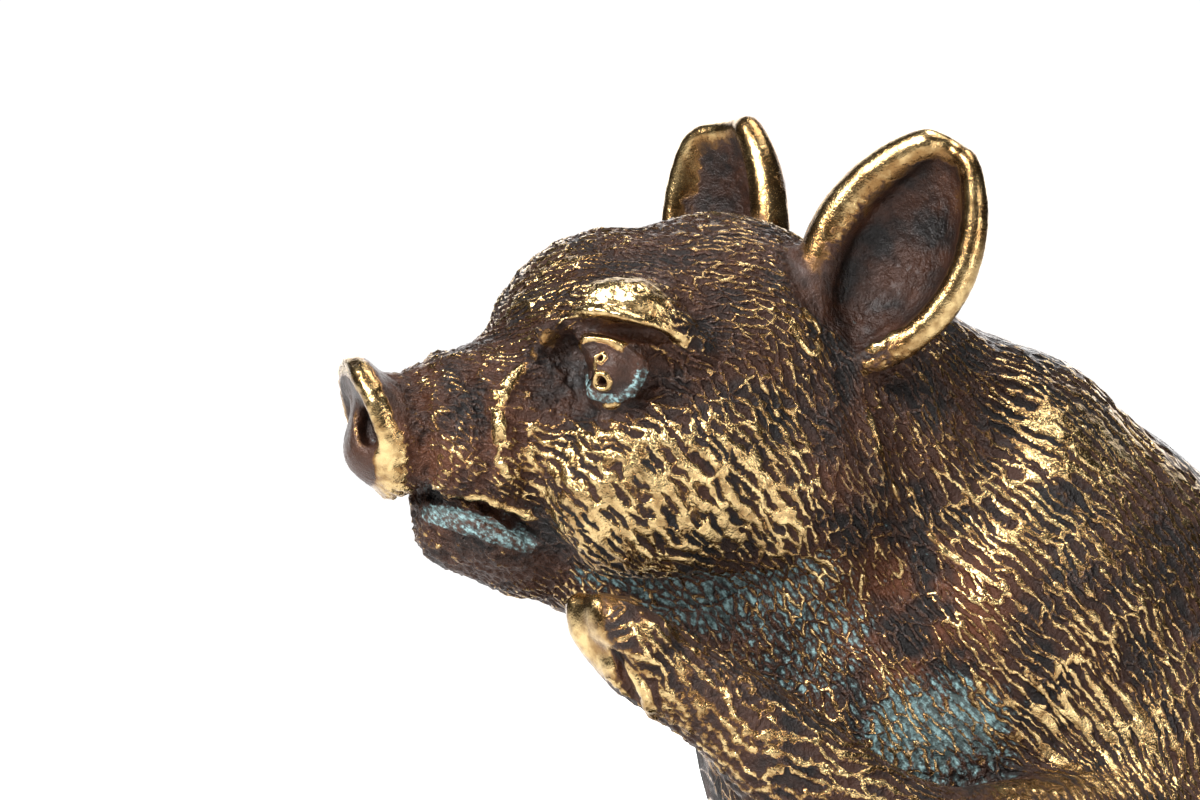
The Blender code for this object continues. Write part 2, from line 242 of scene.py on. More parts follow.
@dataclass(frozen=True)
class Ear:
    """One cupped ear: a sheet with an even wall and a roll round its edge, in parts and degrees.

    A lower taper keeps the leaf fuller towards its root and tip. The rolls are the radii on the
    front and the rear edge.
    """

    side: float
    root: Triple
    turn: float
    lean: float
    back: float
    taper: float
    rolls: tuple[float, float]
    length: float = 20.4
    half_width: float = 6.5
    cup: float = 3.9
    wall: float = 1.5

    def point(self, along: float, across: float) -> Vector:
        """Finds a point of the ear's middle sheet.

        Args:
            along: share of the way from the root, 0, to the tip, 1.
            across: share of the half width, from -1 at the front edge to 1 at the rear edge.

        Returns:
            The point, in parts.
        """
        leaf = math.sin(math.pi * min(1.0, 0.03 + 0.97 * along)) ** self.taper
        arch = (1.0 - across * across) * math.sin(math.pi * min(1.0, 0.1 + 0.9 * along)) ** 0.7
        spot = Vector((self.half_width * leaf * across, self.cup * arch, self.length * along))
        spot.rotate(Matrix.Rotation(math.radians(self.turn), 4, "Z"))
        spot.rotate(Matrix.Rotation(math.radians(-self.back), 4, "X"))
        spot.rotate(Matrix.Rotation(math.radians(self.lean), 4, "Y"))
        place = Vector(self.root) + spot
        place.x *= self.side
        return place

    def _roll(self) -> list[tuple[Vector, float]]:
        """Runs the roll up the front edge, round the tip and down the rear edge.

        Returns:
            Its points, each with its radius.
        """
        front, rear = self.rolls
        edge = [(along, -1.0, front) for along in np.linspace(0.08, 0.93, 15)]
        edge += [(0.955, across, (front + rear) * 0.45) for across in (-0.8, -0.4, 0.0, 0.4, 0.8)]
        edge += [(along, 1.0, rear) for along in np.linspace(0.93, 0.08, 15)]
        roll = []
        for along, across, radius in edge:
            size = radius * (0.60 + 0.40 * math.sin(math.pi * along ** 0.8) ** 0.6)
            roll.append((self.point(along, across * (1.06 - 0.09 * radius)), size))
        return roll

    def sheet(self, name: str) -> bpy.types.Object:
        """Makes the ear.

        Args:
            name: the object's name.

        Returns:
            The walled sheet with its roll, in parts.
        """
        bm = bmesh.new()
        bmesh.ops.create_grid(bm, x_segments=30, y_segments=44, size=1.0)
        for vert in bm.verts:
            vert.co = self.point((vert.co.y + 1.0) / 2.0 * 0.97, vert.co.x)
        bmesh.ops.recalc_face_normals(bm, faces=bm.faces)
        sheet = object_from(bm, name)
        wall = sheet.modifiers.new("wall", "SOLIDIFY")
        wall.thickness = self.wall
        wall.offset = 0.0
        settle(sheet)
        bm = bmesh.new()
        bm.from_mesh(sheet.data)
        limb(bm, self._roll())
        bm.to_mesh(sheet.data)
        bm.free()
        return sheet


@dataclass(frozen=True)
class SnoutDisc:
    """The disc at the end of the snout, with a rounded rim and a shallow dish, in parts.

    The profile gives reach and depth from the dish out over the rim to the back. The narrowing is
    the disc's width as a share of its height.
    """

    centre: Triple = (0.0, -49.5, 76.1)
    tilt: float = 17.8
    narrowing: float = 0.84
    count: int = 96
    profile: tuple[tuple[float, float], ...] = (
        (2.6, 0.05), (4.0, 0.3), (4.7, 0.75), (5.3, 0.95), (5.85, 0.8),
        (6.15, 0.3), (6.2, -0.35), (5.95, -1.0), (5.4, -1.4), (4.6, -1.5))

    def place(self) -> Matrix:
        """Returns the matrix from the disc's own frame to the figure's."""
        return Matrix.Translation(self.centre) @ Matrix.Rotation(math.radians(self.tilt), 4, "X")

    def add(self, bm: bmesh.types.BMesh) -> None:
        """Adds the disc to a bmesh.

        Args:
            bm: the shape to add to.
        """
        place = self.place()
        rings = []
        for reach, depth in self.profile:
            ring = []
            for step in range(self.count):
                angle = 2.0 * math.pi * step / self.count
                spot = Vector((self.narrowing * reach * math.cos(angle), -depth, reach * math.sin(angle)))
                ring.append(bm.verts.new(place @ spot))
            rings.append(ring)
        for ring, following in zip(rings, rings[1:]):
            for step in range(self.count):
                other = (step + 1) % self.count
                bm.faces.new((ring[step], ring[other], following[other], following[step]))
        bm.faces.new(reversed(rings[0]))
        bm.faces.new(rings[-1])

    def cover(self, places: Array) -> tuple[Array, Array]:
        """Tells where the disc lies.

        Args:
            places: places in parts.

        Returns:
            1 near the disc, and 1 on the rolled front of its rim, each falling to 0 around it.
        """
        local = np.array(self.place().inverted())
        spots = places @ local[:3, :3].T + local[:3, 3]
        reach = np.hypot(spots[:, 0] / self.narrowing, spots[:, 2])
        depth = -spots[:, 1]
        near = np.clip((8.0 - reach) / 1.0, 0.0, 1.0) * np.clip((depth + 2.6) / 0.6, 0.0, 1.0)
        rim = np.clip((reach - 4.3) / 0.7, 0.0, 1.0) * np.clip((depth + 1.3) / 0.7, 0.0, 1.0)
        return near, rim


@dataclass(frozen=True)
class Eye:
    """Eyeball between a heavy upper lid and a thin lower one, in parts and degrees.

    The lids give height, thickness, and the first and last angle round the eye.
    """

    side: float
    centre: Triple = (10.7, -32.2, 80.7)
    gaze: Triple = (0.83, -0.55, 0.06)
    radius: float = 2.25
    half_width: float = 2.9
    lids: tuple[tuple[float, ...], ...] = ((2.1, 0.80, -20.0, 200.0), (2.3, 0.52, 190.0, 350.0))

    def axes(self) -> tuple[Vector, Vector, Vector, Vector]:
        """Finds how the eye sits in the head.

        Returns:
            The eyeball's centre and its outward, across and upward directions.
        """
        flip = Vector((self.side, 1.0, 1.0))
        outward = (Vector(self.gaze) * flip).normalized()
        across = Vector((0.0, 0.0, 1.0)).cross(outward).normalized()
        above = outward.cross(across)
        return Vector(self.centre) * flip, outward, across, above

    def add(self, bm: bmesh.types.BMesh) -> None:
        """Adds the eye to a bmesh.

        Args:
            bm: the shape to add to.
        """
        centre, outward, across, above = self.axes()
        ball(bm, centre, self.radius, 5)
        for reach, thick, first, last in self.lids:
            lid = []
            for share in np.linspace(0.0, 1.0, 13):
                angle = math.radians(first + (last - first) * share)
                spot = across * (self.half_width * math.cos(angle)) + above * (reach * math.sin(angle))
                size = thick * (0.7 + 0.3 * math.sin(math.pi * share))
                lid.append((centre + spot + outward * 0.9, size))
            limb(bm, lid)

    def in_front(self, points: Iterable[tuple[float, ...]]) -> list[Vector]:
        """Places the points of a stroke in front of the eye.

        Args:
            points: points across and above the eye's centre.

        Returns:
            The points off the skin, in parts.
        """
        centre, outward, across, above = self.axes()
        return [centre + across * (a * self.side) + above * b + outward * 2.0 for a, b in points]


EARS = (Ear(1.0, (10.4, -13.8, 81.6), 46.0, 14.0, 27.0, 0.62, (1.95, 1.30)),
        Ear(-1.0, (9.2, -17.0, 81.6), -24.0, 10.0, 4.0, 0.34, (1.75, 1.15)))
EYES = (Eye(1.0), Eye(-1.0))
DISC = SnoutDisc()


# Skin

class Skin:
    """The surface of a mesh as arrays, worked in parts with strokes, smoothing and masks."""

    def __init__(self, thing: bpy.types.Object, measure: Measure) -> None:
        """Reads a mesh.

        Args:
            thing: the object whose mesh is worked.
            measure: turns metres into parts.
        """
        self.thing = thing
        self.measure = measure
        mesh = thing.data
        self.places = measure.parts(self._read(mesh.vertices, "co"))
        edges = np.empty(len(mesh.edges) * 2, dtype=np.int64)
        mesh.edges.foreach_get("vertices", edges)
        self.edges = edges.reshape(-1, 2)
        self.count = len(mesh.vertices)
        self.valence = np.maximum(1, np.bincount(self.edges.reshape(-1), minlength=self.count))
        self.normals = self._read(mesh.vertices, "normal")
        self.tree: KDTree | None = None
        self.masks: dict[Mask, Array] = {}

    @staticmethod
    def _read(vertices: Sequence[bpy.types.MeshVertex], name: str) -> Array:
        """Reads one vector of each vertex.

        Args:
            vertices: the mesh's vertices.
            name: the vector's name.

        Returns:
            One row per vertex.
        """
        values = np.empty(len(vertices) * 3, dtype=np.float32)
        vertices.foreach_get(name, values)
        return values.reshape(-1, 3).astype(float)

    def _gathered(self, first: Array, second: Array, sign: float = 1.0) -> Array:
        """Sums values over the edges at each vertex.

        Args:
            first: one value per edge for its first vertex.
            second: one value per edge for its second vertex.
            sign: 1 to add the first sum to the second, -1 to take it away.

        Returns:
            One sum per vertex.
        """
        ahead = np.bincount(self.edges[:, 1], weights=second, minlength=self.count)
        return ahead + sign * np.bincount(self.edges[:, 0], weights=first, minlength=self.count)

    def neighbour_mean(self, values: Array) -> Array:
        """Averages over each vertex's neighbours.

        Args:
            values: one value or vector per vertex.

        Returns:
            The mean over each vertex's neighbours.
        """
        columns = values.reshape(self.count, -1)
        mean = np.empty_like(columns)
        first, second = self.edges[:, 0], self.edges[:, 1]
        for column in range(columns.shape[1]):
            source = columns[:, column]
            mean[:, column] = self._gathered(source[second], source[first]) / self.valence
        return mean.reshape(values.shape)

    def smoothed(self, values: Array, rounds: int, weights: float | Array = 0.5) -> Array:
        """Evens values out over the skin.

        Args:
            values: one value or vector per vertex.
            rounds: how often they are evened out.
            weights: how strongly, alike or per vertex.

        Returns:
            The evened values.
        """
        step = weights if np.isscalar(weights) else weights[:, None]
        for _ in range(rounds):
            values = values + (self.neighbour_mean(values) - values) * step
        return values

    def depth(self, rounds: int) -> Array:
        """Measures how far each vertex lies below its surroundings.

        Args:
            rounds: rounds of smoothing that make the surroundings.

        Returns:
            The depth per vertex, in parts.
        """
        return np.sum((self.smoothed(self.places, rounds) - self.places) * self.normals, axis=1)

    def write(self) -> None:
        """Writes the worked places back and reads fresh normals."""
        mesh = self.thing.data
        mesh.vertices.foreach_set("co", self.measure.metres(self.places).astype(np.float32).reshape(-1))
        mesh.update()
        self.normals = self._read(mesh.vertices, "normal")
        self.tree = None

    def finder(self) -> KDTree:
        """Returns a search tree over the vertices, made when it is first needed."""
        if self.tree is None:
            self.tree = search_tree(self.places)
        return self.tree

    def slopes(self) -> tuple[Array, Array, Array]:
        """Returns the first and second vertex of each edge, and the run between them."""
        first, second = self.edges[:, 0], self.edges[:, 1]
        return first, second, self.places[second] - self.places[first]

    def gradient_size(self, values: Array) -> Array:
        """Measures how fast values change over the skin.

        Args:
            values: one value per vertex.

        Returns:
            The change per part, per vertex.
        """
        first, second, run = self.slopes()
        steep = ((values[second] - values[first]) / np.maximum(1e-6, np.linalg.norm(run, axis=1))) ** 2
        return np.sqrt(2.0 * self._gathered(steep, steep) / self.valence)

    def divergence(self, flow: Array) -> Array:
        """Returns how much of a flow along the edges, one value each, ends in each vertex."""
        return self._gathered(flow, flow, -1.0)

    def reach(self, path: Array, width: float) -> tuple[Array, Array, Array]:
        """Finds the vertices near a path.

        Args:
            path: points along it, in parts.
            width: how far to look, in parts.

        Returns:
            The vertices' numbers, their gap to the path and their share of the way along it.
        """
        low, high = path.min(axis=0) - width, path.max(axis=0) + width
        near = np.where(np.all((self.places > low) & (self.places < high), axis=1))[0]
        spots = self.places[near]
        best = np.full(len(near), np.inf)
        share = np.zeros(len(near))
        count = max(1, len(path) - 1)
        for index in range(count):
            a, b = path[index], path[min(index + 1, len(path) - 1)]
            run = b - a
            size = max(1e-9, float(run @ run))
            t = np.clip((spots - a) @ run / size, 0.0, 1.0)
            gap = np.linalg.norm(spots - (a + t[:, None] * run), axis=1)
            closer = gap < best
            best[closer] = gap[closer]
            share[closer] = (index + t[closer]) / count
        return near, best, share

    def stroke(self, stroke: Stroke, spread: list[list[Vector]] | None = None) -> None:
        """Raises or sinks the skin along a stroke laid on it, and paints it.

        Args:
            stroke: the stroke.
            spread: its paths, where they aren't the stroke's own points.
        """
        if spread is None:
            sides = BOTH_SIDES if stroke.mirrored else BOTH_SIDES[:1]
            spread = [[(x * side, y, z) for x, y, z in stroke.points] for side in sides]
        for points in spread:
            snapped = [self.places[self.finder().find(point)[1]] for point in points]
            near, gap, share = self.reach(smooth_path(snapped), stroke.width)
            form = np.clip(1.0 - (gap / stroke.width) ** 2, 0.0, 1.0) ** 2
            if len(points) > 1:
                form = form * (stroke.ends + (1.0 - stroke.ends) * np.sin(math.pi * share) ** 0.6)
            self.places[near] += self.normals[near] * (stroke.height * form)[:, None]
            self._paint_stroke(stroke, near, np.clip(form * 2.2, 0.0, 1.0))

    def _paint_stroke(self, stroke: Stroke, near: Array, cover: Array) -> None:
        """Paints the masks along a stroke.

        Args:
            stroke: the stroke.
            near: the numbers of the vertices that it touches.
            cover: how much of each it covers, from 0 to 1.
        """
        for mask, value in ((Mask.POLISH, stroke.polish), (Mask.VERDIGRIS, stroke.verdigris)):
            if value >= 0.0:
                self.masks[mask][near] += (value - self.masks[mask][near]) * cover
        if stroke.polish >= 0.0:
            self.masks[Mask.FUR][near] *= 1.0 - cover
            self.masks[Mask.GRIT][near] *= 1.0 - 0.5 * cover

    def painted(self, base: float, patches: Iterable[Patch], mirrored: bool = True) -> Array:
        """Blends patches over the skin, one after another.

        Args:
            base: the value away from the patches.
            patches: the patches.
            mirrored: whether they lie on both sides.

        Returns:
            One value per vertex.
        """
        values = np.full(self.count, base)
        for patch in patches:
            for side in (BOTH_SIDES if mirrored else BOTH_SIDES[:1]):
                centre = np.array(patch.centre) * (side, 1.0, 1.0)
                gap = np.linalg.norm((self.places - centre) / np.array(patch.radii), axis=1)
                share = np.clip(1.6 - 1.2 * gap, 0.0, 1.0)
                share = share * share * (3.0 - 2.0 * share)
                values = values + (patch.value - values) * share
        return values

    def store(self, mask: Mask, values: Array) -> None:
        """Writes one value or vector per vertex as an attribute.

        Args:
            mask: names the attribute.
            values: its values.
        """
        attributes = self.thing.data.attributes
        old = attributes.get(mask.value)
        if old is not None:
            attributes.remove(old)
        kind, field_name = ("FLOAT_VECTOR", "vector") if values.ndim == 2 else ("FLOAT", "value")
        attribute = attributes.new(mask.value, kind, "POINT")
        attribute.data.foreach_set(field_name, values.astype(np.float32).reshape(-1))


def smooth_path(points: Sequence[Array], steps: int = 6) -> Array:
    """Draws a smooth curve through points.

    Args:
        points: the given points.
        steps: points of the curve for each of them.

    Returns:
        Points along the curve.
    """
    if len(points) < 3:
        return np.array(points, dtype=float)
    ends = [2 * np.array(points[0]) - np.array(points[1]), 2 * np.array(points[-1]) - np.array(points[-2])]
    knots = np.array([ends[0], *points, ends[1]], dtype=float)
    path = []
    for a, b, c, d in zip(knots, knots[1:], knots[2:], knots[3:]):
        for t in np.linspace(0.0, 1.0, steps, endpoint=False):
            path.append(0.5 * (2 * b + (c - a) * t + (2 * a - 5 * b + 4 * c - d) * t ** 2
                               + (3 * b - a - 3 * c + d) * t ** 3))
    path.append(knots[-2])
    return np.array(path)


# Coat: direction of the tufts and the coordinates that lie along and across them

FLOWS = (
    Flow((3.0, -46.0, 80.5), (0.0, 1.0, 0.15), 0.32),
    Flow((5.5, -44.0, 76.0), (0.0, 0.45, -0.85), 0.36),
    Flow((5.0, -38.5, 85.5), (0.0, 0.85, 0.50), 0.37),
    Flow((5.0, -31.0, 91.5), (0.0, 0.9, 0.35), 0.40),
    Flow((6.0, -21.0, 93.0), (0.0, 1.0, -0.05), 0.40),
    Flow((11.0, -24.0, 87.0), (0.0, 1.0, 0.10), 0.37),
    Flow((9.0, -36.5, 77.0), (0.1, 0.5, -0.86), 0.56),
    Flow((13.0, -30.0, 75.5), (0.1, 0.42, -0.90), 0.72),
    Flow((14.0, -26.0, 71.0), (0.0, 0.34, -0.94), 0.80),
    Flow((14.5, -20.0, 76.0), (0.0, 0.50, -0.86), 0.70),
    Flow((9.0, -33.0, 66.0), (0.0, 0.42, -0.90), 0.60),
    Flow((4.0, -43.0, 67.0), (0.0, 0.9, -0.40), 0.37),
    Flow((13.0, -10.0, 76.0), (0.0, 0.35, -0.93), 0.46),
    Flow((12.0, -15.0, 63.0), (0.0, 0.55, -0.83), 0.52),
    Flow((4.0, -20.0, 58.0), (0.0, 0.1, -1.0), 0.53),
    Flow((6.0, -10.0, 90.0), (0.0, 0.9, -0.35), 0.41),
    Flow((5.0, 2.0, 85.5), (0.0, 0.9, -0.45), 0.50),
    Flow((14.0, 6.0, 77.0), (0.0, 0.96, -0.25), 0.82),
    Flow((17.0, 4.0, 66.0), (0.0, 0.55, -0.83), 0.84),
    Flow((18.0, -4.0, 55.0), (0.0, 0.75, -0.66), 0.58),
    Flow((14.0, -12.0, 48.0), (0.0, 0.1, -1.0), 0.58),
    Flow((9.0, 16.0, 75.5), (0.0, 0.95, -0.30), 0.86),
    Flow((19.0, 14.0, 54.0), (0.0, 0.35, -0.93), 0.78),
    Flow((22.0, 22.0, 42.0), (0.0, 0.5, -0.85), 0.64),
    Flow((7.0, 38.0, 57.0), (0.0, 0.55, -0.83), 0.64),
    Flow((18.0, 40.0, 34.0), (0.0, 0.25, -0.95), 0.64),
    Flow((5.0, 48.0, 24.0), (0.0, 0.0, -1.0), 0.61),
    Flow((26.0, 20.0, 20.0), (0.0, -0.25, -0.95), 0.64),
    Flow((24.0, 4.0, 16.0), (0.0, -0.3, -0.95), 0.58),
    Flow((18.0, -4.0, 10.0), (0.0, -0.6, -0.80), 0.50),
    Flow((21.0, 2.0, 4.5), (0.0, -1.0, -0.15), 0.41),
    Flow((21.0, 24.0, 5.0), (0.0, -0.9, -0.30), 0.53),
    Flow((0.0, -10.0, 35.0), (0.0, 0.1, -1.0), 0.58),
    Flow((0.0, 5.0, 12.0), (0.0, -0.1, -1.0), 0.58),
)
LEFT_FLOWS = (
    Flow((22.0, 4.0, 45.0), (0.0, -0.5, -0.80), 0.53),
    Flow((23.0, -8.0, 43.0), (0.0, -0.95, 0.10), 0.47),
    Flow((21.0, -16.0, 45.5), (-0.1, -0.85, 0.50), 0.95),
    Flow((19.0, -22.0, 50.5), (-0.1, -0.60, 0.75), 1.05),
    Flow((17.0, -28.0, 56.0), (-0.1, -0.55, 0.80), 0.95),
)
RIGHT_FLOWS = (
    Flow((-18.0, -4.0, 38.0), (0.0, -0.35, -0.93), 0.53),
    Flow((-17.0, -12.0, 22.0), (0.0, -0.35, -0.93), 0.47),
    Flow((-16.0, -18.0, 9.0), (0.0, -0.3, -0.95), 0.42),
)
TUFT_STRETCH = 3.9


class Coat:
    """Flow of the coat over a skin, turned into coordinates along and across the tufts."""

    def __init__(self, skin: Skin) -> None:
        """Spreads the listed flows over a skin.

        Args:
            skin: the skin that the coat lies on.
        """
        self.skin = skin
        mirrored = [flow.mirrored() for flow in FLOWS if flow.place[0] > 0.5]
        self.direction, self.width = self._spread([*FLOWS, *mirrored, *LEFT_FLOWS, *RIGHT_FLOWS])

    def _spread(self, flows: Sequence[Flow]) -> tuple[Array, Array]:
        """Blends the flows by their nearness.

        Args:
            flows: the listed flows.

        Returns:
            The direction along the skin and the tuft's width, per vertex.
        """
        skin = self.skin
        total = np.zeros((skin.count, 3))
        width = np.zeros(skin.count)
        weight_sum = np.zeros(skin.count)
        for flow in flows:
            gap = np.sum((skin.places - np.array(flow.place)) ** 2, axis=1)
            weight = 1.0 / (gap + 12.0) ** 2
            heading = np.array(flow.direction) / np.linalg.norm(flow.direction)
            total += weight[:, None] * heading
            width += weight * flow.width
            weight_sum += weight
        heading = total / weight_sum[:, None]
        heading -= skin.normals * np.sum(heading * skin.normals, axis=1)[:, None]
        heading /= np.maximum(1e-6, np.linalg.norm(heading, axis=1))[:, None]
        return heading, width / weight_sum

    def targets(self) -> tuple[Array, Array]:
        """Returns the wanted gradients of the two coordinates, in tufts per part."""
        skin = self.skin
        size = self.width / (skin.measure.part * MILLIMETRES)
        across = np.cross(skin.normals, self.direction)
        across *= np.clip(skin.normals[:, 0] / 0.10, -1.0, 1.0)[:, None]
        return self.direction / (size * TUFT_STRETCH)[:, None], across / size[:, None]

    def solve(self, target: Array, start: Array, rounds: int) -> Array:
        """Fits one coordinate to its wanted gradient by conjugate gradients over the edges.

        Args:
            target: the wanted gradient per vertex.
            start: start values.
            rounds: the most rounds to take.

        Returns:
            The coordinate per vertex.
        """
        skin = self.skin
        first, second, run = skin.slopes()
        goal = skin.divergence(np.sum((target[first] + target[second]) * 0.5 * run, axis=1))
        values = start.copy()
        rest = goal - skin.divergence(values[second] - values[first])
        heading = rest.copy()
        size = rest @ rest
        for _ in range(rounds):
            pushed = skin.divergence(heading[second] - heading[first])
            share = size / max(1e-20, heading @ pushed)
            values += share * heading
            rest -= share * pushed
            new_size = rest @ rest
            if new_size < 1e-9:
                break
            heading = rest + (new_size / size) * heading
            size = new_size
        return values

    def fit(self, target: Array) -> tuple[Array, Array]:
        """Scales a wanted gradient until the fitted coordinate changes as fast as wanted.

        Args:
            target: the wanted gradient per vertex.

        Returns:
            The coordinate and the scaled gradient, per vertex.
        """
        skin = self.skin
        wanted = np.linalg.norm(target, axis=1)
        values = self.solve(target, np.zeros(skin.count), 700)
        for _ in range(3):
            ratio = np.clip(wanted / np.maximum(0.25 * wanted, skin.gradient_size(values)), 0.6, 1.9)
            ratio = skin.smoothed(ratio, 12)
            target = target * (ratio ** 0.8)[:, None]
            values = self.solve(target, values, 400)
        return values, target


def comb_coordinates(skin: Skin, coarse: Skin) -> tuple[Array, Array]:
    """Solves the coat's coordinates on a coarse skin, then refines them on the fine one.

    Args:
        skin: the fine skin.
        coarse: the coarse one.

    Returns:
        Along, across and 0 in tufts per vertex, and the nearest coarse vertex.
    """
    rough = Coat(coarse)
    finder = coarse.finder()
    nearest = np.array([finder.find(place)[1] for place in skin.places])
    gap = skin.places - coarse.places[nearest]
    coat = Coat(skin)
    columns = []
    for target, wanted in zip(rough.targets(), coat.targets()):
        values, scaled = rough.fit(target)
        growth = np.linalg.norm(scaled, axis=1) / np.maximum(1e-9, np.linalg.norm(target, axis=1))
        start = values[nearest] + np.sum(gap * scaled[nearest], axis=1)
        columns.append(coat.solve(wanted * growth[nearest][:, None], start, 60))
    return np.stack([*columns, np.zeros(skin.count)], axis=1), nearest


# Carving

EYE_STROKES = (
    # Deep hollow in front of the eye and the cut below the brow
    Stroke(((-4.8, 1.3), (-4.2, -0.6)), 2.3, -2.3, polish=0.0),
    Stroke(((-2.6, 3.5), (0.4, 3.4), (3.2, 2.7), (5.6, 1.4)), 1.15, -1.15, 0.4, polish=0.0),
    Stroke(((3.0, 1.0), (3.6, -0.8), (2.6, -2.4)), 0.9, -0.4, 0.3, verdigris=1.2),
    # Brow: a smooth mound with a sharp lower edge
    Stroke(((0.4, 6.6), (2.8, 6.2)), 3.3, 0.85, polish=0.74),
    Stroke(((-3.2, 4.9), (-0.6, 4.75), (2.4, 4.0), (5.0, 2.9), (7.0, 1.5)), 0.85, 0.75, 0.4, polish=1.0),
    Stroke(((2.5, 6.9),), 0.55, -0.35),
    # Lids
    Stroke(((-3.1, 1.9), (-1.7, 2.75), (0.1, 2.65), (1.5, 1.8)), 0.72, 0.65, 0.4, polish=1.0),
    Stroke(((1.5, 2.0), (2.6, 1.2), (3.1, 0.0)), 0.6, 0.3, 0.3, polish=0.2),
    Stroke(((-2.8, -0.5), (-1.7, -1.9), (0.4, -2.3), (2.2, -1.5), (2.8, 0.1)), 0.62, 0.28, 0.5,
           verdigris=1.15),
    Stroke(((-0.6, -3.0), (0.3, -3.15), (1.1, -2.9)), 0.55, 0.35, 0.3, polish=0.95),
    # Eyeball: drilled pupil and glint, each in a raised ring
    Stroke(((0.9, 0.5),), 1.1, 0.25, polish=0.12),
    Stroke(((0.25, -0.8), (-0.08, -0.25), (-0.62, -0.2), (-1.02, -0.65), (-0.98, -1.2), (-0.5, -1.47),
            (0.05, -1.3),
            (0.25, -0.8)), 0.36, 0.34, polish=1.0),
    Stroke(((-0.9, -0.1), (-1.05, 0.6), (-0.95, 1.2)), 0.26, 0.24, polish=0.95),
    Stroke(((-0.12, 1.1), (-0.5, 1.5), (-0.88, 1.1), (-0.5, 0.7), (-0.12, 1.1)), 0.26, 0.24, polish=0.95),
    Stroke(((-0.4, -0.78),), 0.52, -0.85, polish=0.0),
    Stroke(((-0.5, 1.08),), 0.34, -0.45, polish=0.0),
    # Knob in front of the hollow, with the ridges that run up from it
    Stroke(((-5.9, 2.2),), 1.3, 0.8, polish=0.62),
    Stroke(((-8.4, 0.6), (-6.8, 1.9), (-5.6, 3.4), (-4.4, 4.6)), 0.6, 0.45, 0.2),
    Stroke(((-8.2, 2.6), (-6.4, 4.2), (-4.6, 6.4)), 0.5, 0.35, 0.2),
    Stroke(((-7.0, 5.2), (-5.0, 7.2), (-2.6, 9.0)), 0.5, 0.30, 0.2),
)
HEAD_STROKES = (
    # Neck behind the snout disc, and its second edge
    Stroke(((2.6, -46.8, 80.2), (4.0, -46.6, 78.6), (4.9, -46.4, 76.0), (4.6, -46.0, 73.4),
            (3.0, -45.4, 71.4)),
           1.7, -0.9, 0.4),
    # Crease behind the muzzle and the broken ridge behind it
    Stroke(((4.6, -43.2, 81.0), (6.6, -42.4, 79.0), (7.4, -42.0, 76.0), (7.4, -41.6, 72.6)), 1.3, -0.6, 0.3),
    Stroke(((6.8, -36.6, 82.8), (7.4, -39.6, 81.0), (8.0, -41.0, 78.8)), 0.8, 0.7, 0.3, polish=0.62),
    Stroke(((8.1, -41.4, 78.0), (8.4, -41.0, 75.2)), 1.0, 0.65, 0.4, polish=0.66),
    Stroke(((7.9, -41.2, 74.2), (8.2, -40.0, 71.6)), 0.6, 0.35, 0.2, polish=0.62),
    Stroke(((8.6, -38.8, 74.6), (8.8, -37.6, 72.0)), 0.6, 0.35, 0.2, polish=0.66),
    # Bump across the bridge
    Stroke(((0.0, -43.8, 81.8), (3.0, -43.6, 81.2), (4.8, -43.4, 79.6)), 1.2, 0.2, 0.2),
    # Mouth, lip edge and the full lower lip
    Stroke(((0.0, -46.4, 70.4), (3.6, -45.2, 69.9), (6.0, -41.8, 69.5), (7.8, -38.2, 67.2)), 0.8, -1.1, 0.6,
           polish=0.0),
    Stroke(((4.4, -44.6, 71.0), (6.4, -42.0, 70.7), (8.2, -38.8, 68.8),
            (8.8, -37.2, 66.6)), 0.58, 0.5, 0.3, polish=0.82),
    Stroke(((1.6, -45.6, 69.1), (4.6, -43.6, 68.8), (6.6, -40.4, 67.8), (7.6, -38.2, 66.4)), 1.35, 0.6, 0.4,
           polish=0.0, verdigris=1.45),
    # Nostrils
    Stroke(((1.7, -50.6, 76.9), (2.0, -50.2, 75.2)), 0.9, -1.3, polish=0.0),
    # Fold of the neck behind the cheek
    Stroke(((12.4, -11.4, 80.6), (13.6, -10.6, 76.0), (13.6, -9.0, 71.0), (14.0, -5.4, 66.6),
            (14.6, -1.5, 63.0)), 0.55, 0.45, 0.3,
           polish=0.62),
    Stroke(((12.2, -13.2, 80.0), (13.4, -12.4, 76.0), (13.6, -11.2, 71.0)), 1.4, -0.7, 0.2),
    # Hollow between neck and shoulder blade
    Stroke(((11.0, -2.0, 84.0), (13.6, 0.5, 78.0), (14.6, -1.0, 72.0), (15.0, -5.0, 66.0)), 5.5, -1.5, 0.3),
    Stroke(((15.0, 9.0, 73.0), (18.0, 8.0, 66.0), (19.0, 7.0, 58.0)), 6.0, 0.7, 0.3),
    # Folds at the root of the near ear
    Stroke(((12.6, -15.4, 84.4), (13.4, -12.8, 82.8), (13.4, -10.2, 82.4)), 0.8, -0.6, 0.3),
    Stroke(((12.4, -15.8, 86.0), (13.6, -12.6, 84.4), (14.0, -9.4, 84.2)), 0.7, 0.55, 0.3, polish=0.8),
    # Curls of hair where the near ear meets the temple
    Stroke(((12.0, -17.6, 85.6), (12.8, -16.9, 83.6), (13.0, -15.6, 82.4),
            (13.0, -14.2, 83.6)), 0.5, 0.4, 0.4, polish=0.82),
    Stroke(((12.4, -15.2, 86.6), (12.9, -14.6, 84.8), (13.0, -14.9, 83.2)), 0.5, 0.4, 0.4, polish=0.85),
    # Jowl: the cheek stands over the throat
    Stroke(((7.0, -35.0, 63.4), (10.6, -28.0, 62.4), (12.6, -21.0, 62.4),
            (13.0, -15.0, 65.0)), 2.2, -0.8, 0.3,
           verdigris=0.8),
)
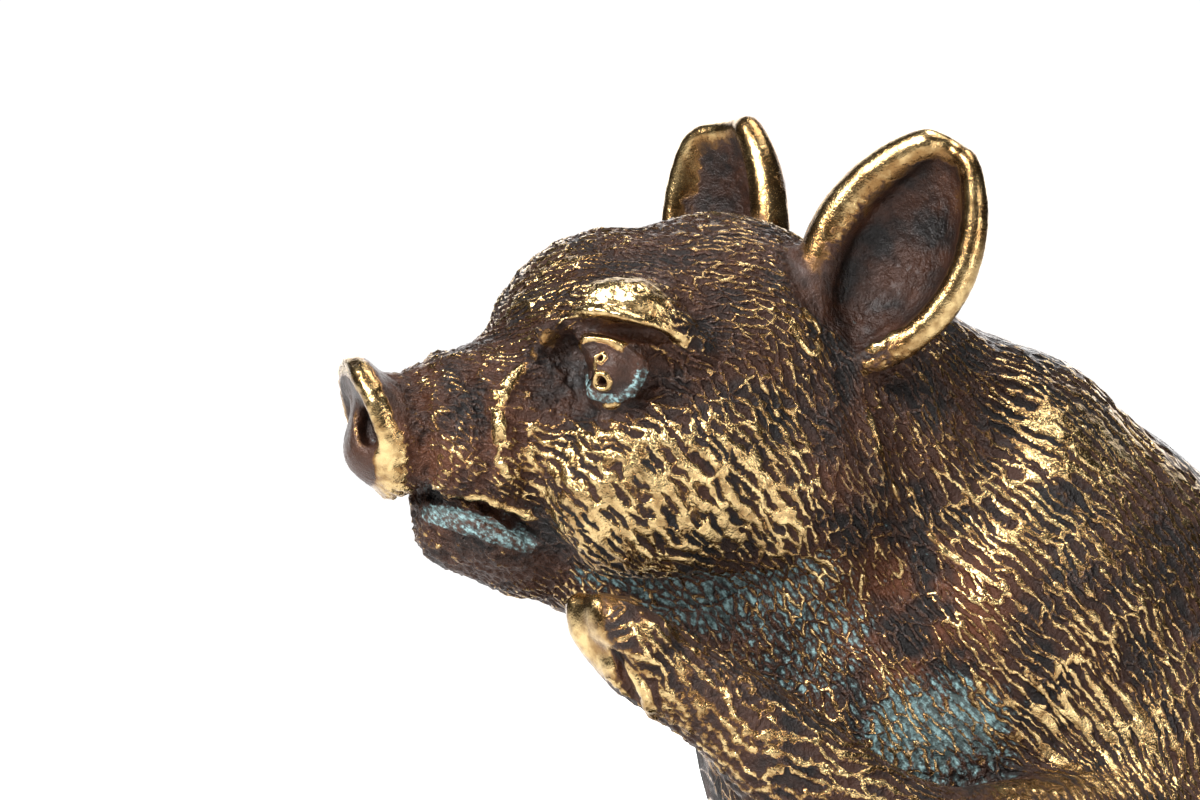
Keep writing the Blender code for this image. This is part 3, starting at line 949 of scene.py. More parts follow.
LEG_STROKES = (
    # Raised trotter: the groove behind the hoof and the ring after it
    Stroke(((13.6, -34.0, 62.6), (15.8, -33.6, 61.0), (17.2, -33.2, 58.4),
            (17.0, -32.6, 55.2)), 0.85, -1.0, 0.5, False,
           polish=0.05),
    Stroke(((14.6, -32.0, 61.6), (17.0, -31.8, 59.2), (17.8, -31.2, 56.2),
            (17.0, -30.8, 53.6)), 0.85, 0.6, 0.4, False,
           polish=0.7),
    # Coronets of the feet on the plinth
    Stroke(((17.2, -4.4, 2.0), (18.0, -4.2, 5.6), (21.6, -4.2, 5.6), (23.2, -4.4, 2.0)), 0.9, -0.5, 0.5),
    Stroke(((-18.0, -20.4, 2.0), (-17.2, -19.8, 5.6), (-13.2, -19.8, 5.6),
            (-12.4, -20.4, 2.0)), 0.9, -0.5, 0.5, False),
)
FUR_PATCHES = (
    Patch((6.0, -44.0, 76.0), (8.0, 6.4, 9.0), 0.55),
    Patch((5.0, -42.0, 66.0), (7.0, 8.0, 4.4), 0.25),
    Patch((9.0, -36.6, 80.0), (2.6, 3.0, 4.0), 0.1),
    Patch((10.7, -33.0, 80.7), (4.8, 4.6, 4.4), 0.0),
    Patch((0.0, -50.5, 76.0), (8.0, 3.6, 8.0), 0.0),
    Patch((19.8, -9.0, 3.2), (5.4, 7.0, 4.0), 0.0),
)
LEFT_FUR_PATCHES = (
    Patch((18.5, -26.0, 52.0), (5.0, 8.0, 7.0), 0.35),
    Patch((15.2, -35.4, 60.6), (4.6, 5.6, 5.6), 0.0),
    Patch((22.0, 0.0, 45.6), (5.0, 9.0, 4.4), 0.2),
    Patch((-15.2, -24.0, 3.2), (5.4, 6.6, 4.0), 0.0),
)
GRIT_PATCHES = (
    Patch((6.0, -43.0, 75.0), (9.0, 7.0, 10.0), 1.35),
    Patch((9.0, -37.0, 80.0), (4.0, 4.0, 5.0), 1.0),
    Patch((10.7, -33.0, 80.7), (3.4, 3.0, 3.2), 0.15),
    Patch((0.0, -50.5, 76.0), (8.0, 3.0, 8.0), 0.12),
    Patch((19.8, -9.0, 3.2), (5.4, 7.0, 4.0), 0.25),
    Patch((18.5, -26.0, 52.0), (5.0, 8.0, 7.0), 0.9),
    Patch((15.2, -35.4, 60.6), (4.6, 5.6, 5.6), 0.08),
    Patch((22.0, 0.0, 45.6), (5.0, 9.0, 4.4), 0.35),
)
POLISH_PATCHES = (
    Patch((5.0, -34.5, 89.5), (8.0, 7.0, 6.0), 0.44),
    Patch((7.0, -24.0, 91.0), (9.0, 10.0, 7.0), 0.06),
    Patch((13.0, -22.0, 80.5), (5.0, 8.0, 4.5), 0.16),
    Patch((6.0, -43.0, 76.0), (9.0, 7.0, 9.0), 0.21),
    Patch((4.0, -40.0, 65.0), (8.0, 8.0, 4.0), 0.08),
    Patch((14.0, -28.3, 71.2), (10.0, 12.0, 7.4), 0.90),
    Patch((13.5, -18.9, 73.5), (6.0, 3.6, 6.5), 0.80),
    Patch((10.8, -37.0, 72.0), (4.6, 4.0, 6.0), 0.80),
    Patch((14.3, -26.6, 73.4), (3.8, 3.6, 3.0), 0.70),
    Patch((10.7, -33.0, 80.7), (4.6, 4.6, 4.2), 0.10),
    Patch((13.4, -12.6, 73.0), (5.0, 4.4, 10.0), 0.04),
    Patch((12.0, -3.7, 78.5), (8.0, 6.4, 6.0), 0.18),
    Patch((14.0, 9.0, 75.0), (9.0, 9.5, 4.4), 0.84),
    Patch((17.0, 1.2, 68.6), (7.0, 8.4, 4.4), 0.62),
    Patch((9.0, -24.0, 58.5), (10.0, 9.0, 7.0), 0.06),
    Patch((17.0, -9.0, 60.0), (6.0, 8.0, 9.0), 0.24),
    Patch((18.8, 7.0, 50.5), (8.0, 7.0, 6.6), 0.90),
    Patch((19.0, 8.5, 59.0), (8.0, 6.0, 4.0), 0.50),
    Patch((8.0, 30.0, 68.0), (10.0, 14.0, 10.0), 0.46),
    Patch((26.0, 10.0, 24.0), (7.0, 14.0, 10.0), 0.60),
    Patch((20.0, -8.0, 4.0), (6.0, 8.0, 5.0), 0.72),
    Patch((0.0, 50.0, 24.0), (7.0, 5.0, 8.0), 0.70),
    Patch((0.0, -8.0, 36.0), (12.0, 12.0, 10.0), 0.10),
)
LEFT_POLISH_PATCHES = (
    Patch((18.5, -26.0, 52.0), (6.0, 10.0, 8.0), 0.37),
    Patch((15.2, -35.4, 60.0), (4.4, 4.6, 5.2), 0.76),
    Patch((22.0, 0.0, 46.0), (5.0, 9.0, 4.6), 0.70),
    Patch((-16.0, -14.0, 16.0), (6.0, 8.0, 12.0), 0.55),
)
VERDIGRIS_PATCHES = (
    Patch((18.0, -7.8, 52.0), (6.0, 7.6, 5.2), 1.35),
    Patch((13.0, -17.0, 59.0), (8.0, 7.0, 7.0), 0.62),
    Patch((11.0, -26.0, 61.5), (7.0, 8.0, 3.4), 0.85),
    Patch((0.0, 0.0, 10.0), (15.0, 14.0, 9.0), 0.6),
    Patch((22.0, 26.0, 9.0), (6.0, 12.0, 4.0), 0.6),
)
RUST_PATCHES = (
    Patch((17.0, -8.8, 61.0), (7.0, 8.0, 8.0), 1.0),
    Patch((20.0, 26.0, 40.0), (6.0, 9.0, 8.0), 0.6),
    Patch((12.0, -15.0, 68.0), (6.0, 5.0, 6.0), 0.5),
    Patch((6.0, -44.0, 75.0), (7.0, 5.0, 7.0), 0.7),
)


@dataclass
class Piglet:
    """The figure: its skin is melted from the CAD node, then carved, chased and dressed.

    Grains are voxel sizes in metres, the coat's depth and swell are in millimetres.
    """

    source: bpy.types.Object
    measure: Measure
    quick: bool
    skin_grain: float = 0.00023
    quick_grain: float = 0.00036
    flow_grain: float = 0.0010
    skin_triangles: int = 194000
    quick_triangles: int = 90000
    coat_depth: float = 0.17
    coat_swell: float = 0.20

    def _melted(self, name: str, grain: float, extras: Sequence[bpy.types.Object]) -> bpy.types.Object:
        """Melts the CAD node and small forms into one closed skin.

        Args:
            name: the skin's name.
            grain: its voxel size, in metres.
            extras: objects to melt in.

        Returns:
            The skin.
        """
        bm = bmesh.new()
        bm.from_mesh(self.source.data)
        bmesh.ops.remove_doubles(bm, verts=bm.verts, dist=0.00001)
        if extras:
            self._draw_in_ears(bm)
        for extra in extras:
            bm.from_mesh(extra.data)
        thing = object_from(bm, name)
        thing.data.materials.clear()
        melt = thing.modifiers.new("melt", "REMESH")
        melt.mode = "VOXEL"
        melt.voxel_size = grain
        settle(thing)
        self._keep_outer_skin(thing)
        return thing

    def _draw_in_ears(self, bm: bmesh.types.BMesh) -> None:
        """Draws the solid's faceted ears in, so that the finer ones cover them.

        Args:
            bm: the solid's shape, in metres.
        """
        grid = [(along, across) for along in np.linspace(0.1, 0.9, 24)
                for across in np.linspace(-0.85, 0.85, 15)]
        tree = search_tree(ear.point(*spot) for ear in EARS for spot in grid)
        for vert in bm.verts:
            place = Vector(self.measure.parts(np.array(vert.co)))
            spot, _, gap = tree.find(place)
            share = min(1.0, max(0.0, (3.4 - gap) / 0.8)) * min(1.0, max(0.0, (place.z - 84.0) / 3.0))
            vert.co = Vector(self.measure.metres(np.array(place.lerp(spot, 0.65 * share))))

    @staticmethod
    def _keep_outer_skin(thing: bpy.types.Object) -> None:
        """Deletes inner bubbles, so that one closed skin is left.

        Args:
            thing: the melted skin.
        """
        edges = np.empty(len(thing.data.edges) * 2, dtype=np.int64)
        thing.data.edges.foreach_get("vertices", edges)
        edges = edges.reshape(-1, 2)
        label = np.arange(len(thing.data.vertices))
        while True:
            low = np.minimum(label[edges[:, 0]], label[edges[:, 1]])
            fresh = label.copy()
            np.minimum.at(fresh, edges[:, 0], low)
            np.minimum.at(fresh, edges[:, 1], low)
            fresh = fresh[fresh]
            if np.array_equal(fresh, label):
                break
            label = fresh
        main_label = np.bincount(label).argmax()
        doomed = np.where(label != main_label)[0]
        if len(doomed) == 0:
            return
        bm = bmesh.new()
        bm.from_mesh(thing.data)
        bm.verts.ensure_lookup_table()
        bmesh.ops.delete(bm, geom=[bm.verts[index] for index in doomed], context="VERTS")
        bm.to_mesh(thing.data)
        bm.free()

    def _small_forms(self) -> list[bpy.types.Object]:
        """Models the disc, the eyes and the ears.

        Returns:
            The crisp small forms, placed in metres.
        """
        bm = bmesh.new()
        DISC.add(bm)
        for eye in EYES:
            eye.add(bm)
        things = [object_from(bm, "small_forms")]
        things += [ear.sheet(name) for ear, name in zip(EARS, ("left_ear", "right_ear"))]
        for thing in things:
            thing.data.transform(self.measure.matrix())
        return things

    @staticmethod
    def _ear_gap(places: Array, first: float, widest: float) -> Array:
        """Measures the gap to the ears' middle sheets.

        Args:
            places: places in parts.
            first: where along the ears to start.
            widest: the least share across that counts, short of the tip.

        Returns:
            The gap from each place, in parts; 99 far from the ears.
        """
        grid = [(along, across) for along in np.linspace(first, 0.99, 60)
                for across in np.linspace(-1.0, 1.0, 31) if abs(across) >= widest or along > 0.97]
        tree = search_tree(ear.point(*spot) for ear in EARS for spot in grid)
        gap = np.full(len(places), 99.0)
        for index in np.where((places[:, 2] > 78.0) & (np.abs(places[:, 0]) > 2.0))[0]:
            gap[index] = tree.find(places[index])[2]
        return gap

    def _ear_share(self, skin: Skin) -> Array:
        """Returns 1 on the ears' leaves, falling to 0 at their roots, per vertex."""
        return np.clip((2.9 - self._ear_gap(skin.places, 0.12, 0.0)) / 1.2, 0.0, 1.0)

    def _refine_eyes(self, thing: bpy.types.Object) -> None:
        """Splits the faces around the eyes, for their small forms.

        Args:
            thing: the skin.
        """
        bm = bmesh.new()
        bm.from_mesh(thing.data)
        centres = [Vector(self.measure.metres(np.array(eye.axes()[0]))) for eye in EYES]
        reach = 7.2 * self.measure.part
        chosen = {vert for vert in bm.verts if min((vert.co - centre).length for centre in centres) < reach}
        edges = [edge for edge in bm.edges if edge.verts[0] in chosen and edge.verts[1] in chosen]
        bmesh.ops.subdivide_edges(bm, edges=edges, cuts=2, use_grid_fill=True)
        bmesh.ops.triangulate(bm, faces=[face for face in bm.faces if len(face.verts) > 4])
        bm.to_mesh(thing.data)
        bm.free()

    def _even_out(self, skin: Skin) -> None:
        """Smooths the facets of the CAD solid away, least where the forms are small.

        Args:
            skin: the skin to work.
        """
        ears = self._ear_share(skin)
        _, y, z = skin.places.T
        head = np.clip((-y - 4.0) / 8.0, 0.0, 1.0) * np.clip((z - 60.0) / 6.0, 0.0, 1.0)
        trotter = np.clip((-y - 24.0) / 6.0, 0.0, 1.0) * np.clip((z - 50.0) / 4.0, 0.0, 1.0)
        small = np.maximum(np.maximum(head * 0.8, trotter), ears)
        skin.places = skin.smoothed(skin.places, 26 if self.quick else 60, 0.5 * (1.0 - small))
        skin.places = skin.smoothed(skin.places, 8 if self.quick else 14, 0.5 * (1.0 - 0.45 * ears))
        skin.places = skin.smoothed(skin.places, 2)
        seat = np.where(skin.places[:, 2] < 0.35)[0]
        skin.places[seat, 2] = np.maximum(skin.places[seat, 2], 0.0)
        skin.write()

    def _paint(self, skin: Skin) -> None:
        """Paints the masks that steer the relief and the finish.

        Args:
            skin: the skin to paint.
        """
        ears = self._ear_share(skin)
        fur = skin.painted(1.0, FUR_PATCHES)
        fur = np.minimum(fur, skin.painted(1.0, LEFT_FUR_PATCHES, mirrored=False))
        polish = skin.painted(0.30, POLISH_PATCHES)
        left = skin.painted(-1.0, LEFT_POLISH_PATCHES, mirrored=False)
        polish = np.where(left > 0.0, np.maximum(polish, left), polish)
        edge = np.exp(-(self._ear_gap(skin.places, 0.3, 0.86) / 2.5) ** 4)
        polish = polish * (1.0 - ears) + (0.34 + 0.22 * edge) * ears
        near, rim = DISC.cover(skin.places)
        skin.masks = {
            Mask.FUR: fur * (1.0 - ears),
            Mask.GRIT: skin.painted(0.6, GRIT_PATCHES) * (1.0 - 0.2 * ears) * (1.0 - 0.9 * edge * ears),
            Mask.POLISH: polish + (0.06 + 0.66 * rim - polish) * near,
            Mask.VERDIGRIS: skin.painted(0.0, VERDIGRIS_PATCHES),
            Mask.RUST: skin.painted(0.3, RUST_PATCHES),
        }

    def _carve(self, skin: Skin) -> None:
        """Lays the tool strokes on the skin.

        Args:
            skin: the skin to carve.
        """
        for stroke in (*HEAD_STROKES, *LEG_STROKES):
            skin.stroke(stroke)
        skin.write()
        for stroke in EYE_STROKES:
            skin.stroke(stroke, [eye.in_front(stroke.points) for eye in EYES])
        skin.write()

    def build(self) -> tuple[bpy.types.Object, Array]:
        """Builds the carved skin, with its masks stored on it.

        Returns:
            The skin, and how deep each vertex lies in the figure's large forms.
        """
        forms = self._small_forms()
        thing = self._melted("piglet_skin", self.quick_grain if self.quick else self.skin_grain, forms)
        coarse = self._melted("flow_skin", self.flow_grain, [])
        for form in forms:
            bpy.data.objects.remove(form, do_unlink=True)
        self._even_out(Skin(thing, self.measure))
        self._refine_eyes(thing)
        skin = Skin(thing, self.measure)
        log.info("skin of %d vertices", skin.count)
        self._paint(skin)
        self._carve(skin)
        coarse_skin = Skin(coarse, self.measure)
        coarse_skin.places = coarse_skin.smoothed(coarse_skin.places, 4)
        coarse_skin.write()
        comb, nearest = comb_coordinates(skin, coarse_skin)
        dell = coarse_skin.depth(30)[nearest]
        bpy.data.objects.remove(coarse, do_unlink=True)
        for mask, values in {**skin.masks, Mask.COMB: comb}.items():
            skin.store(mask, values)
        return thing, dell

    def _thin_out(self, thing: bpy.types.Object) -> None:
        """Thins the skin out, keeping most triangles on the head and the near side.

        Args:
            thing: the chased skin.
        """
        skin = Skin(thing, self.measure)
        x, y, z = skin.places.T
        head = np.clip((-y - 6.0) / 8.0, 0.0, 1.0) * np.clip((z - 58.0) / 6.0, 0.0, 1.0)
        near = np.clip((x - 2.0) / 6.0, 0.0, 1.0) * np.clip((22.0 - y) / 8.0, 0.0, 1.0)
        near *= np.clip((z - 42.0) / 6.0, 0.0, 1.0)
        for eye in EYES:
            gap = np.linalg.norm(skin.places - np.array(eye.axes()[0]), axis=1)
            near = np.maximum(near, np.clip((7.5 - gap) / 1.5, 0.0, 1.0) * 1.8)
        detail = np.maximum(head * (0.55 + 0.35 * np.clip(x / 6.0, 0.0, 1.0)), near * 0.55)
        group = thing.vertex_groups.new(name="plain")
        levels = np.round((1.0 - detail) * 12.0) / 12.0
        for level in np.unique(levels):
            chosen = np.where(levels == level)[0]
            group.add(chosen.tolist(), max(0.06, float(level)), "REPLACE")
        thin = thing.modifiers.new("thin", "DECIMATE")
        thin.vertex_group = group.name
        thin.vertex_group_factor = 2.0
        thin.use_collapse_triangulate = True
        triangles = self.quick_triangles if self.quick else self.skin_triangles
        thin.ratio = triangles / max(1, 2 * len(thing.data.polygons))
        settle(thing)
        thing.vertex_groups.clear()

    def dress(self, thing: bpy.types.Object, dell: Array, material: bpy.types.Material) -> None:
        """Chases the coat into the skin, thins it out and puts it in place of the CAD node.

        Args:
            thing: the carved skin.
            dell: how deep each vertex lies in the large forms, in parts.
            material: the bronze.
        """
        chase_coat(thing, material, self.coat_depth, self.coat_swell)
        skin = Skin(thing, self.measure)
        skin.store(Mask.CAVITY, skin.depth(9))
        # Depth in the large forms: it steers verdigris and wear, and the painted shade of the bronze's
        # ground.
        skin.store(Mask.HOLLOW, skin.depth(60) + dell * 0.7)
        self._thin_out(thing)
        keep_inside(thing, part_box("piglet"))
        thing.data.materials.clear()
        thing.data.materials.append(material)
        thing.data.shade_smooth()
        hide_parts("piglet")
        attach(thing, "root")
        log.info("%s: %d triangles in %s", thing.name, len(thing.data.polygons), material.name)


@dataclass(frozen=True)
class Plinth:
    """The plinth: the CAD node's own plain form under its own finish."""

    node: bpy.types.Object

    def dress(self, material: bpy.types.Material) -> None:
        """Gives the plinth its finish.

        Args:
            material: the plinth's bronze.
        """
        self.node.data.materials.clear()
        self.node.data.materials.append(material)
        log.info("%s: in %s", self.node.name, material.name)


def keep_inside(thing: bpy.types.Object, box: Box, margin: float = 0.00002) -> None:
    """Draws in what stands a little outside a box.

    Args:
        thing: the object whose mesh is drawn in.
        box: lowest and highest corner, in metres.
        margin: how far inside the box it ends, in metres.
    """
    places = np.array([vert.co for vert in thing.data.vertices])
    places = np.clip(places, np.array(box[0]) + margin, np.array(box[1]) - margin)
    thing.data.vertices.foreach_set("co", places.astype(np.float32).reshape(-1))
    thing.data.update()


# Node trees

class Value:
    """A socket of a node tree, with arithmetic that adds Math nodes."""

    def __init__(self, graph: "Graph", socket: bpy.types.NodeSocket) -> None:
        """Wraps one output.

        Args:
            graph: the tree that it belongs to.
            socket: the output.
        """
        self.graph = graph
        self.socket = socket

    def math(self, operation: str, *others: "float | Value") -> "Value":
        """Adds a Math node.

        Args:
            operation: what it does.
            others: its other inputs.

        Returns:
            Its result.
        """
        return self.graph.math(operation, self, *others)

    def __add__(self, other: "float | Value") -> "Value":
        """Returns the sum."""
        return self.math("ADD", other)

    def __radd__(self, other: float) -> "Value":
        """Returns the sum, for a number on the left."""
        return self.graph.math("ADD", other, self)

    def __sub__(self, other: "float | Value") -> "Value":
        """Returns the difference."""
        return self.math("SUBTRACT", other)

    def __rsub__(self, other: float) -> "Value":
        """Returns the difference, for a number on the left."""
        return self.graph.math("SUBTRACT", other, self)

    def __mul__(self, other: "float | Value") -> "Value":
        """Returns the product."""
        return self.math("MULTIPLY", other)

    def __rmul__(self, other: float) -> "Value":
        """Returns the product, for a number on the left."""
        return self.graph.math("MULTIPLY", other, self)

    def __truediv__(self, other: "float | Value") -> "Value":
        """Returns the quotient."""
        return self.math("DIVIDE", other)

    def clamp(self) -> "Value":
        """Returns the value kept between 0 and 1."""
        return self.math("MAXIMUM", 0.0).math("MINIMUM", 1.0)

    def ramp(self, low: "float | Value", high: "float | Value") -> "Value":
        """Adds a smooth step.

        Args:
            low: where it leaves 0.
            high: where it reaches 1.

        Returns:
            The step.
        """
        made = self.graph.node("ShaderNodeMapRange", {"interpolation_type": "SMOOTHSTEP"},
                               {"Value": self, "From Min": low, "From Max": high})
        return self.graph.out(made)


class Graph:
    """A node tree that is written as Python expressions."""

    def __init__(self, tree: bpy.types.NodeTree) -> None:
        """Takes the tree to add to."""
        self.tree = tree

    def feed(self, node: bpy.types.Node, inputs: dict) -> None:
        """Sets inputs of a node.

        Args:
            node: the node.
            inputs: a value or a Value to link for each input, by name or number.
        """
        for name, value in inputs.items():
            socket = node.inputs[name]
            if isinstance(value, Value):
                self.tree.links.new(value.socket, socket)
            else:
                socket.default_value = value

    def node(self, kind: str, settings: dict | None = None, inputs: dict | None = None) -> bpy.types.Node:
        """Adds any node.

        Args:
            kind: its type.
            settings: its settings, set first.
            inputs: values or links of its inputs.

        Returns:
            The node.
        """
        made = self.tree.nodes.new(kind)
        for name, value in (settings or {}).items():
            setattr(made, name, value)
        self.feed(made, inputs or {})
        return made

    def out(self, node: bpy.types.Node, name: str | int = 0) -> Value:
        """Returns one output of a node."""
        return Value(self, node.outputs[name])

    def math(self, operation: str, *values: float | Value) -> Value:
        """Returns the result of one Math node."""
        return self.out(self.node("ShaderNodeMath", {"operation": operation}, dict(enumerate(values))))

    def vector(self, operation: str, *values: Triple | Value) -> Value:
        """Returns the vector that one Vector Math node makes."""
        return self.out(self.node("ShaderNodeVectorMath", {"operation": operation}, dict(enumerate(values))))

    def scaled(self, vector: Value, factor: float | Value) -> Value:
        """Returns a vector times a number."""
        made = self.node("ShaderNodeVectorMath", {"operation": "SCALE"}, {0: vector, "Scale": factor})
        return self.out(made)

    def length(self, vector: Value) -> Value:
        """Returns the length of a vector."""
        return self.out(self.node("ShaderNodeVectorMath", {"operation": "LENGTH"}, {0: vector}), "Value")

    def noise(self, place: Value, scale: float, detail: float = 3.0, roughness: float = 0.5,
              output: str = "Fac") -> Value:
        """Adds a 3D noise.

        Args:
            place: where it is read.
            scale: how fine it is.
            detail: how many finer layers it has.
            roughness: how strong they are.
            output: Fac for a value around 0.5, Color for three.

        Returns:
            The noise.
        """
        made = self.node("ShaderNodeTexNoise", {"noise_dimensions": "3D"},
                         {"Vector": place, "Scale": scale, "Detail": detail, "Roughness": roughness})
        return self.out(made, output)

    def sway(self, place: Value, scale: float, detail: float, reach: Triple) -> Value:
        """Adds a noise that shifts a point.

        Args:
            place: where it is read.
            scale: how fine it is.
            detail: how many finer layers it has.
            reach: how far it shifts along each axis, from end to end.

        Returns:
            The shift, around 0.
        """
        colour = self.noise(place, scale, detail, 0.5, "Color")
        return self.vector("MULTIPLY", self.vector("SUBTRACT", colour, (0.5, 0.5, 0.5)), reach)

    def blend(self, share: float | Value, first: Colour | Value, second: Colour | Value) -> Value:
        """Returns a colour mixed from two, by share."""
        made = self.node("ShaderNodeMix", {"data_type": "RGBA", "clamp_factor": True},
                         {0: share, 6: first, 7: second})
        return self.out(made, 2)

    def bump(self, height: Value) -> Value:
        """Returns the normal bent by a height in millimetres."""
        inputs = {"Strength": 1.0, "Distance": 1.0, "Height": height * 0.001}
        return self.out(self.node("ShaderNodeBump", None, inputs))


def coat_pattern(graph: Graph, comb: Value, place: Value, polish: Value) -> tuple[Value, Value, Value]:
    """Draws the chased coat, alike in the relief and in the finish.

    Args:
        graph: the tree to add to.
        comb: the coat's coordinates, in tufts.
        place: the place, in millimetres.
        polish: how worn the skin is, from 0 to 1.

    Returns:
        crest, 1 on the ridges between the furrows and 0 deep in them; a colour per furrow; and
        clump, the swell of whole locks, around 0.5.
    """
    spot = graph.vector("ADD", comb, graph.sway(place, 0.42, 2.0, (0.8, 2.2, 0.0)))
    spot = graph.vector("ADD", spot, graph.sway(place, 1.9, 2.0, (0.18, 0.62, 0.0)))
    spot = graph.vector("ADD", spot, graph.sway(place, 4.6, 1.0, (0.10, 0.42, 0.0)))
    settings = {"voronoi_dimensions": "2D", "feature": "F1"}
    inputs = {"Vector": spot, "Scale": 1.0, "Randomness": 0.95}
    own = graph.node("ShaderNodeTexVoronoi", settings, inputs)
    other = graph.node("ShaderNodeTexVoronoi", {**settings, "feature": "F2"}, inputs)
    own_gap, other_gap = graph.out(own, "Distance"), graph.out(other, "Distance")
    own_place, other_place = graph.out(own, "Position"), graph.out(other, "Position")

    # Ridges: thin lines half way between two furrows, broken here and there
    apart = graph.vector("MULTIPLY", graph.vector("SUBTRACT", other_place, own_place),
                         (1.0 / TUFT_STRETCH, 1.0, 0.0))
    ridge_gap = (other_gap * other_gap - own_gap * own_gap) / (graph.length(apart) * 2.0 + 0.0001)
    breaks = graph.noise(place, 1.3, 3.0, 0.6)
    spread = 0.20 + graph.noise(place, 0.7, 2.0, 0.6) * 0.52
    thin = (1.0 - ridge_gap.ramp(0.0, spread)) * (0.16 + breaks * 1.62)

    # Worn places: flats with a lens-shaped nick in each
    lens = graph.vector("MULTIPLY", graph.vector("SUBTRACT", spot, own_place), (0.85, 1.75, 0.0))
    flat = (graph.length(lens) + (breaks - 0.5) * 0.85).ramp(0.25, 0.68)
    crest = thin + (flat - thin) * polish.ramp(0.45, 0.90)
    return crest, graph.out(own, "Color"), graph.noise(spot, 0.23, 2.0, 0.6)


def relief_group(material: bpy.types.Material) -> bpy.types.NodeTree:
    """Builds the Geometry Nodes group that chases the coat into the skin.

    Args:
        material: the material to set.

    Returns:
        The group, with named inputs for depth and swell.
    """
    tree = bpy.data.node_groups.new("chased_coat", "GeometryNodeTree")
    tree.interface.new_socket("Geometry", in_out="INPUT", socket_type="NodeSocketGeometry")
    for name in ("Depth", "Swell"):
        tree.interface.new_socket(name, in_out="INPUT", socket_type="NodeSocketFloat")
    tree.interface.new_socket("Geometry", in_out="OUTPUT", socket_type="NodeSocketGeometry")
    graph = Graph(tree)
    given = graph.node("NodeGroupInput")
    depth, swell = graph.out(given, "Depth"), graph.out(given, "Swell")
    read = {}
    for mask, kind in ((Mask.COMB, "FLOAT_VECTOR"), (Mask.FUR, "FLOAT"), (Mask.GRIT, "FLOAT"),
                       (Mask.POLISH, "FLOAT")):
        attribute = graph.node("GeometryNodeInputNamedAttribute", {"data_type": kind}, {"Name": mask.value})
        read[mask] = graph.out(attribute)
    fur = read[Mask.FUR]
    place = graph.scaled(graph.out(graph.node("GeometryNodeInputPosition")), MILLIMETRES)
    crest, _, clump = coat_pattern(graph, read[Mask.COMB], place, read[Mask.POLISH])
    strength = graph.noise(place, 0.30, 2.0) * 1.2 + 0.4
    locks = (clump - 0.5) * swell * 3.0
    lumps = (graph.noise(place, 0.16, 3.0, 0.55) - 0.5) * swell * 1.2
    tufts = (crest.ramp(0.05, 0.75) - 0.5) * depth * strength
    rough = (graph.noise(place, 1.3, 4.0, 0.7) - 0.5) * read[Mask.GRIT] * (1.0 - fur * 0.7) * 1.5
    height = ((tufts + lumps + locks) * fur + rough) * 0.001
    offset = graph.scaled(graph.out(graph.node("GeometryNodeInputNormal")), height)
    moved = graph.node("GeometryNodeSetPosition", None,
                       {"Geometry": graph.out(given, "Geometry"), "Offset": offset})
    real = graph.node("GeometryNodeRealizeInstances", None, {"Geometry": graph.out(moved)})
    painted = graph.node("GeometryNodeSetMaterial", None,
                         {"Geometry": graph.out(real), "Material": material})
    tree.links.new(painted.outputs[0], graph.node("NodeGroupOutput").inputs[0])
    return tree


def chase_coat(thing: bpy.types.Object, material: bpy.types.Material, depth: float, swell: float) -> None:
    """Runs the relief group on the skin and keeps its result as the mesh.

    Args:
        thing: the carved skin.
        material: the material that the group sets.
        depth: height of the tufts, in millimetres.
        swell: height of the locks, in millimetres.
    """
    group = relief_group(material)
    modifier = thing.modifiers.new("chased coat", "NODES")
    modifier.node_group = group
    wanted = {"Depth": depth, "Swell": swell}
    for item in group.interface.items_tree:
        if item.name in wanted and item.in_out == "INPUT":
            modifier[item.identifier] = wanted[item.name]
    settle(thing)


# Finishes

def blank_material(slot: Slot) -> tuple[bpy.types.Material, Graph, bpy.types.Node, Value]:
    """Starts a material.

    Args:
        slot: the record's slot that it fills.

    Returns:
        The material, its graph, its shader node and the place in millimetres.
    """
    material = bpy.data.materials.new(slot.value)
    material.use_nodes = True
    graph = Graph(material.node_tree)
    coords = graph.out(graph.node("ShaderNodeTexCoord"), "Object")
    return material, graph, material.node_tree.nodes["Principled BSDF"], graph.scaled(coords, MILLIMETRES)


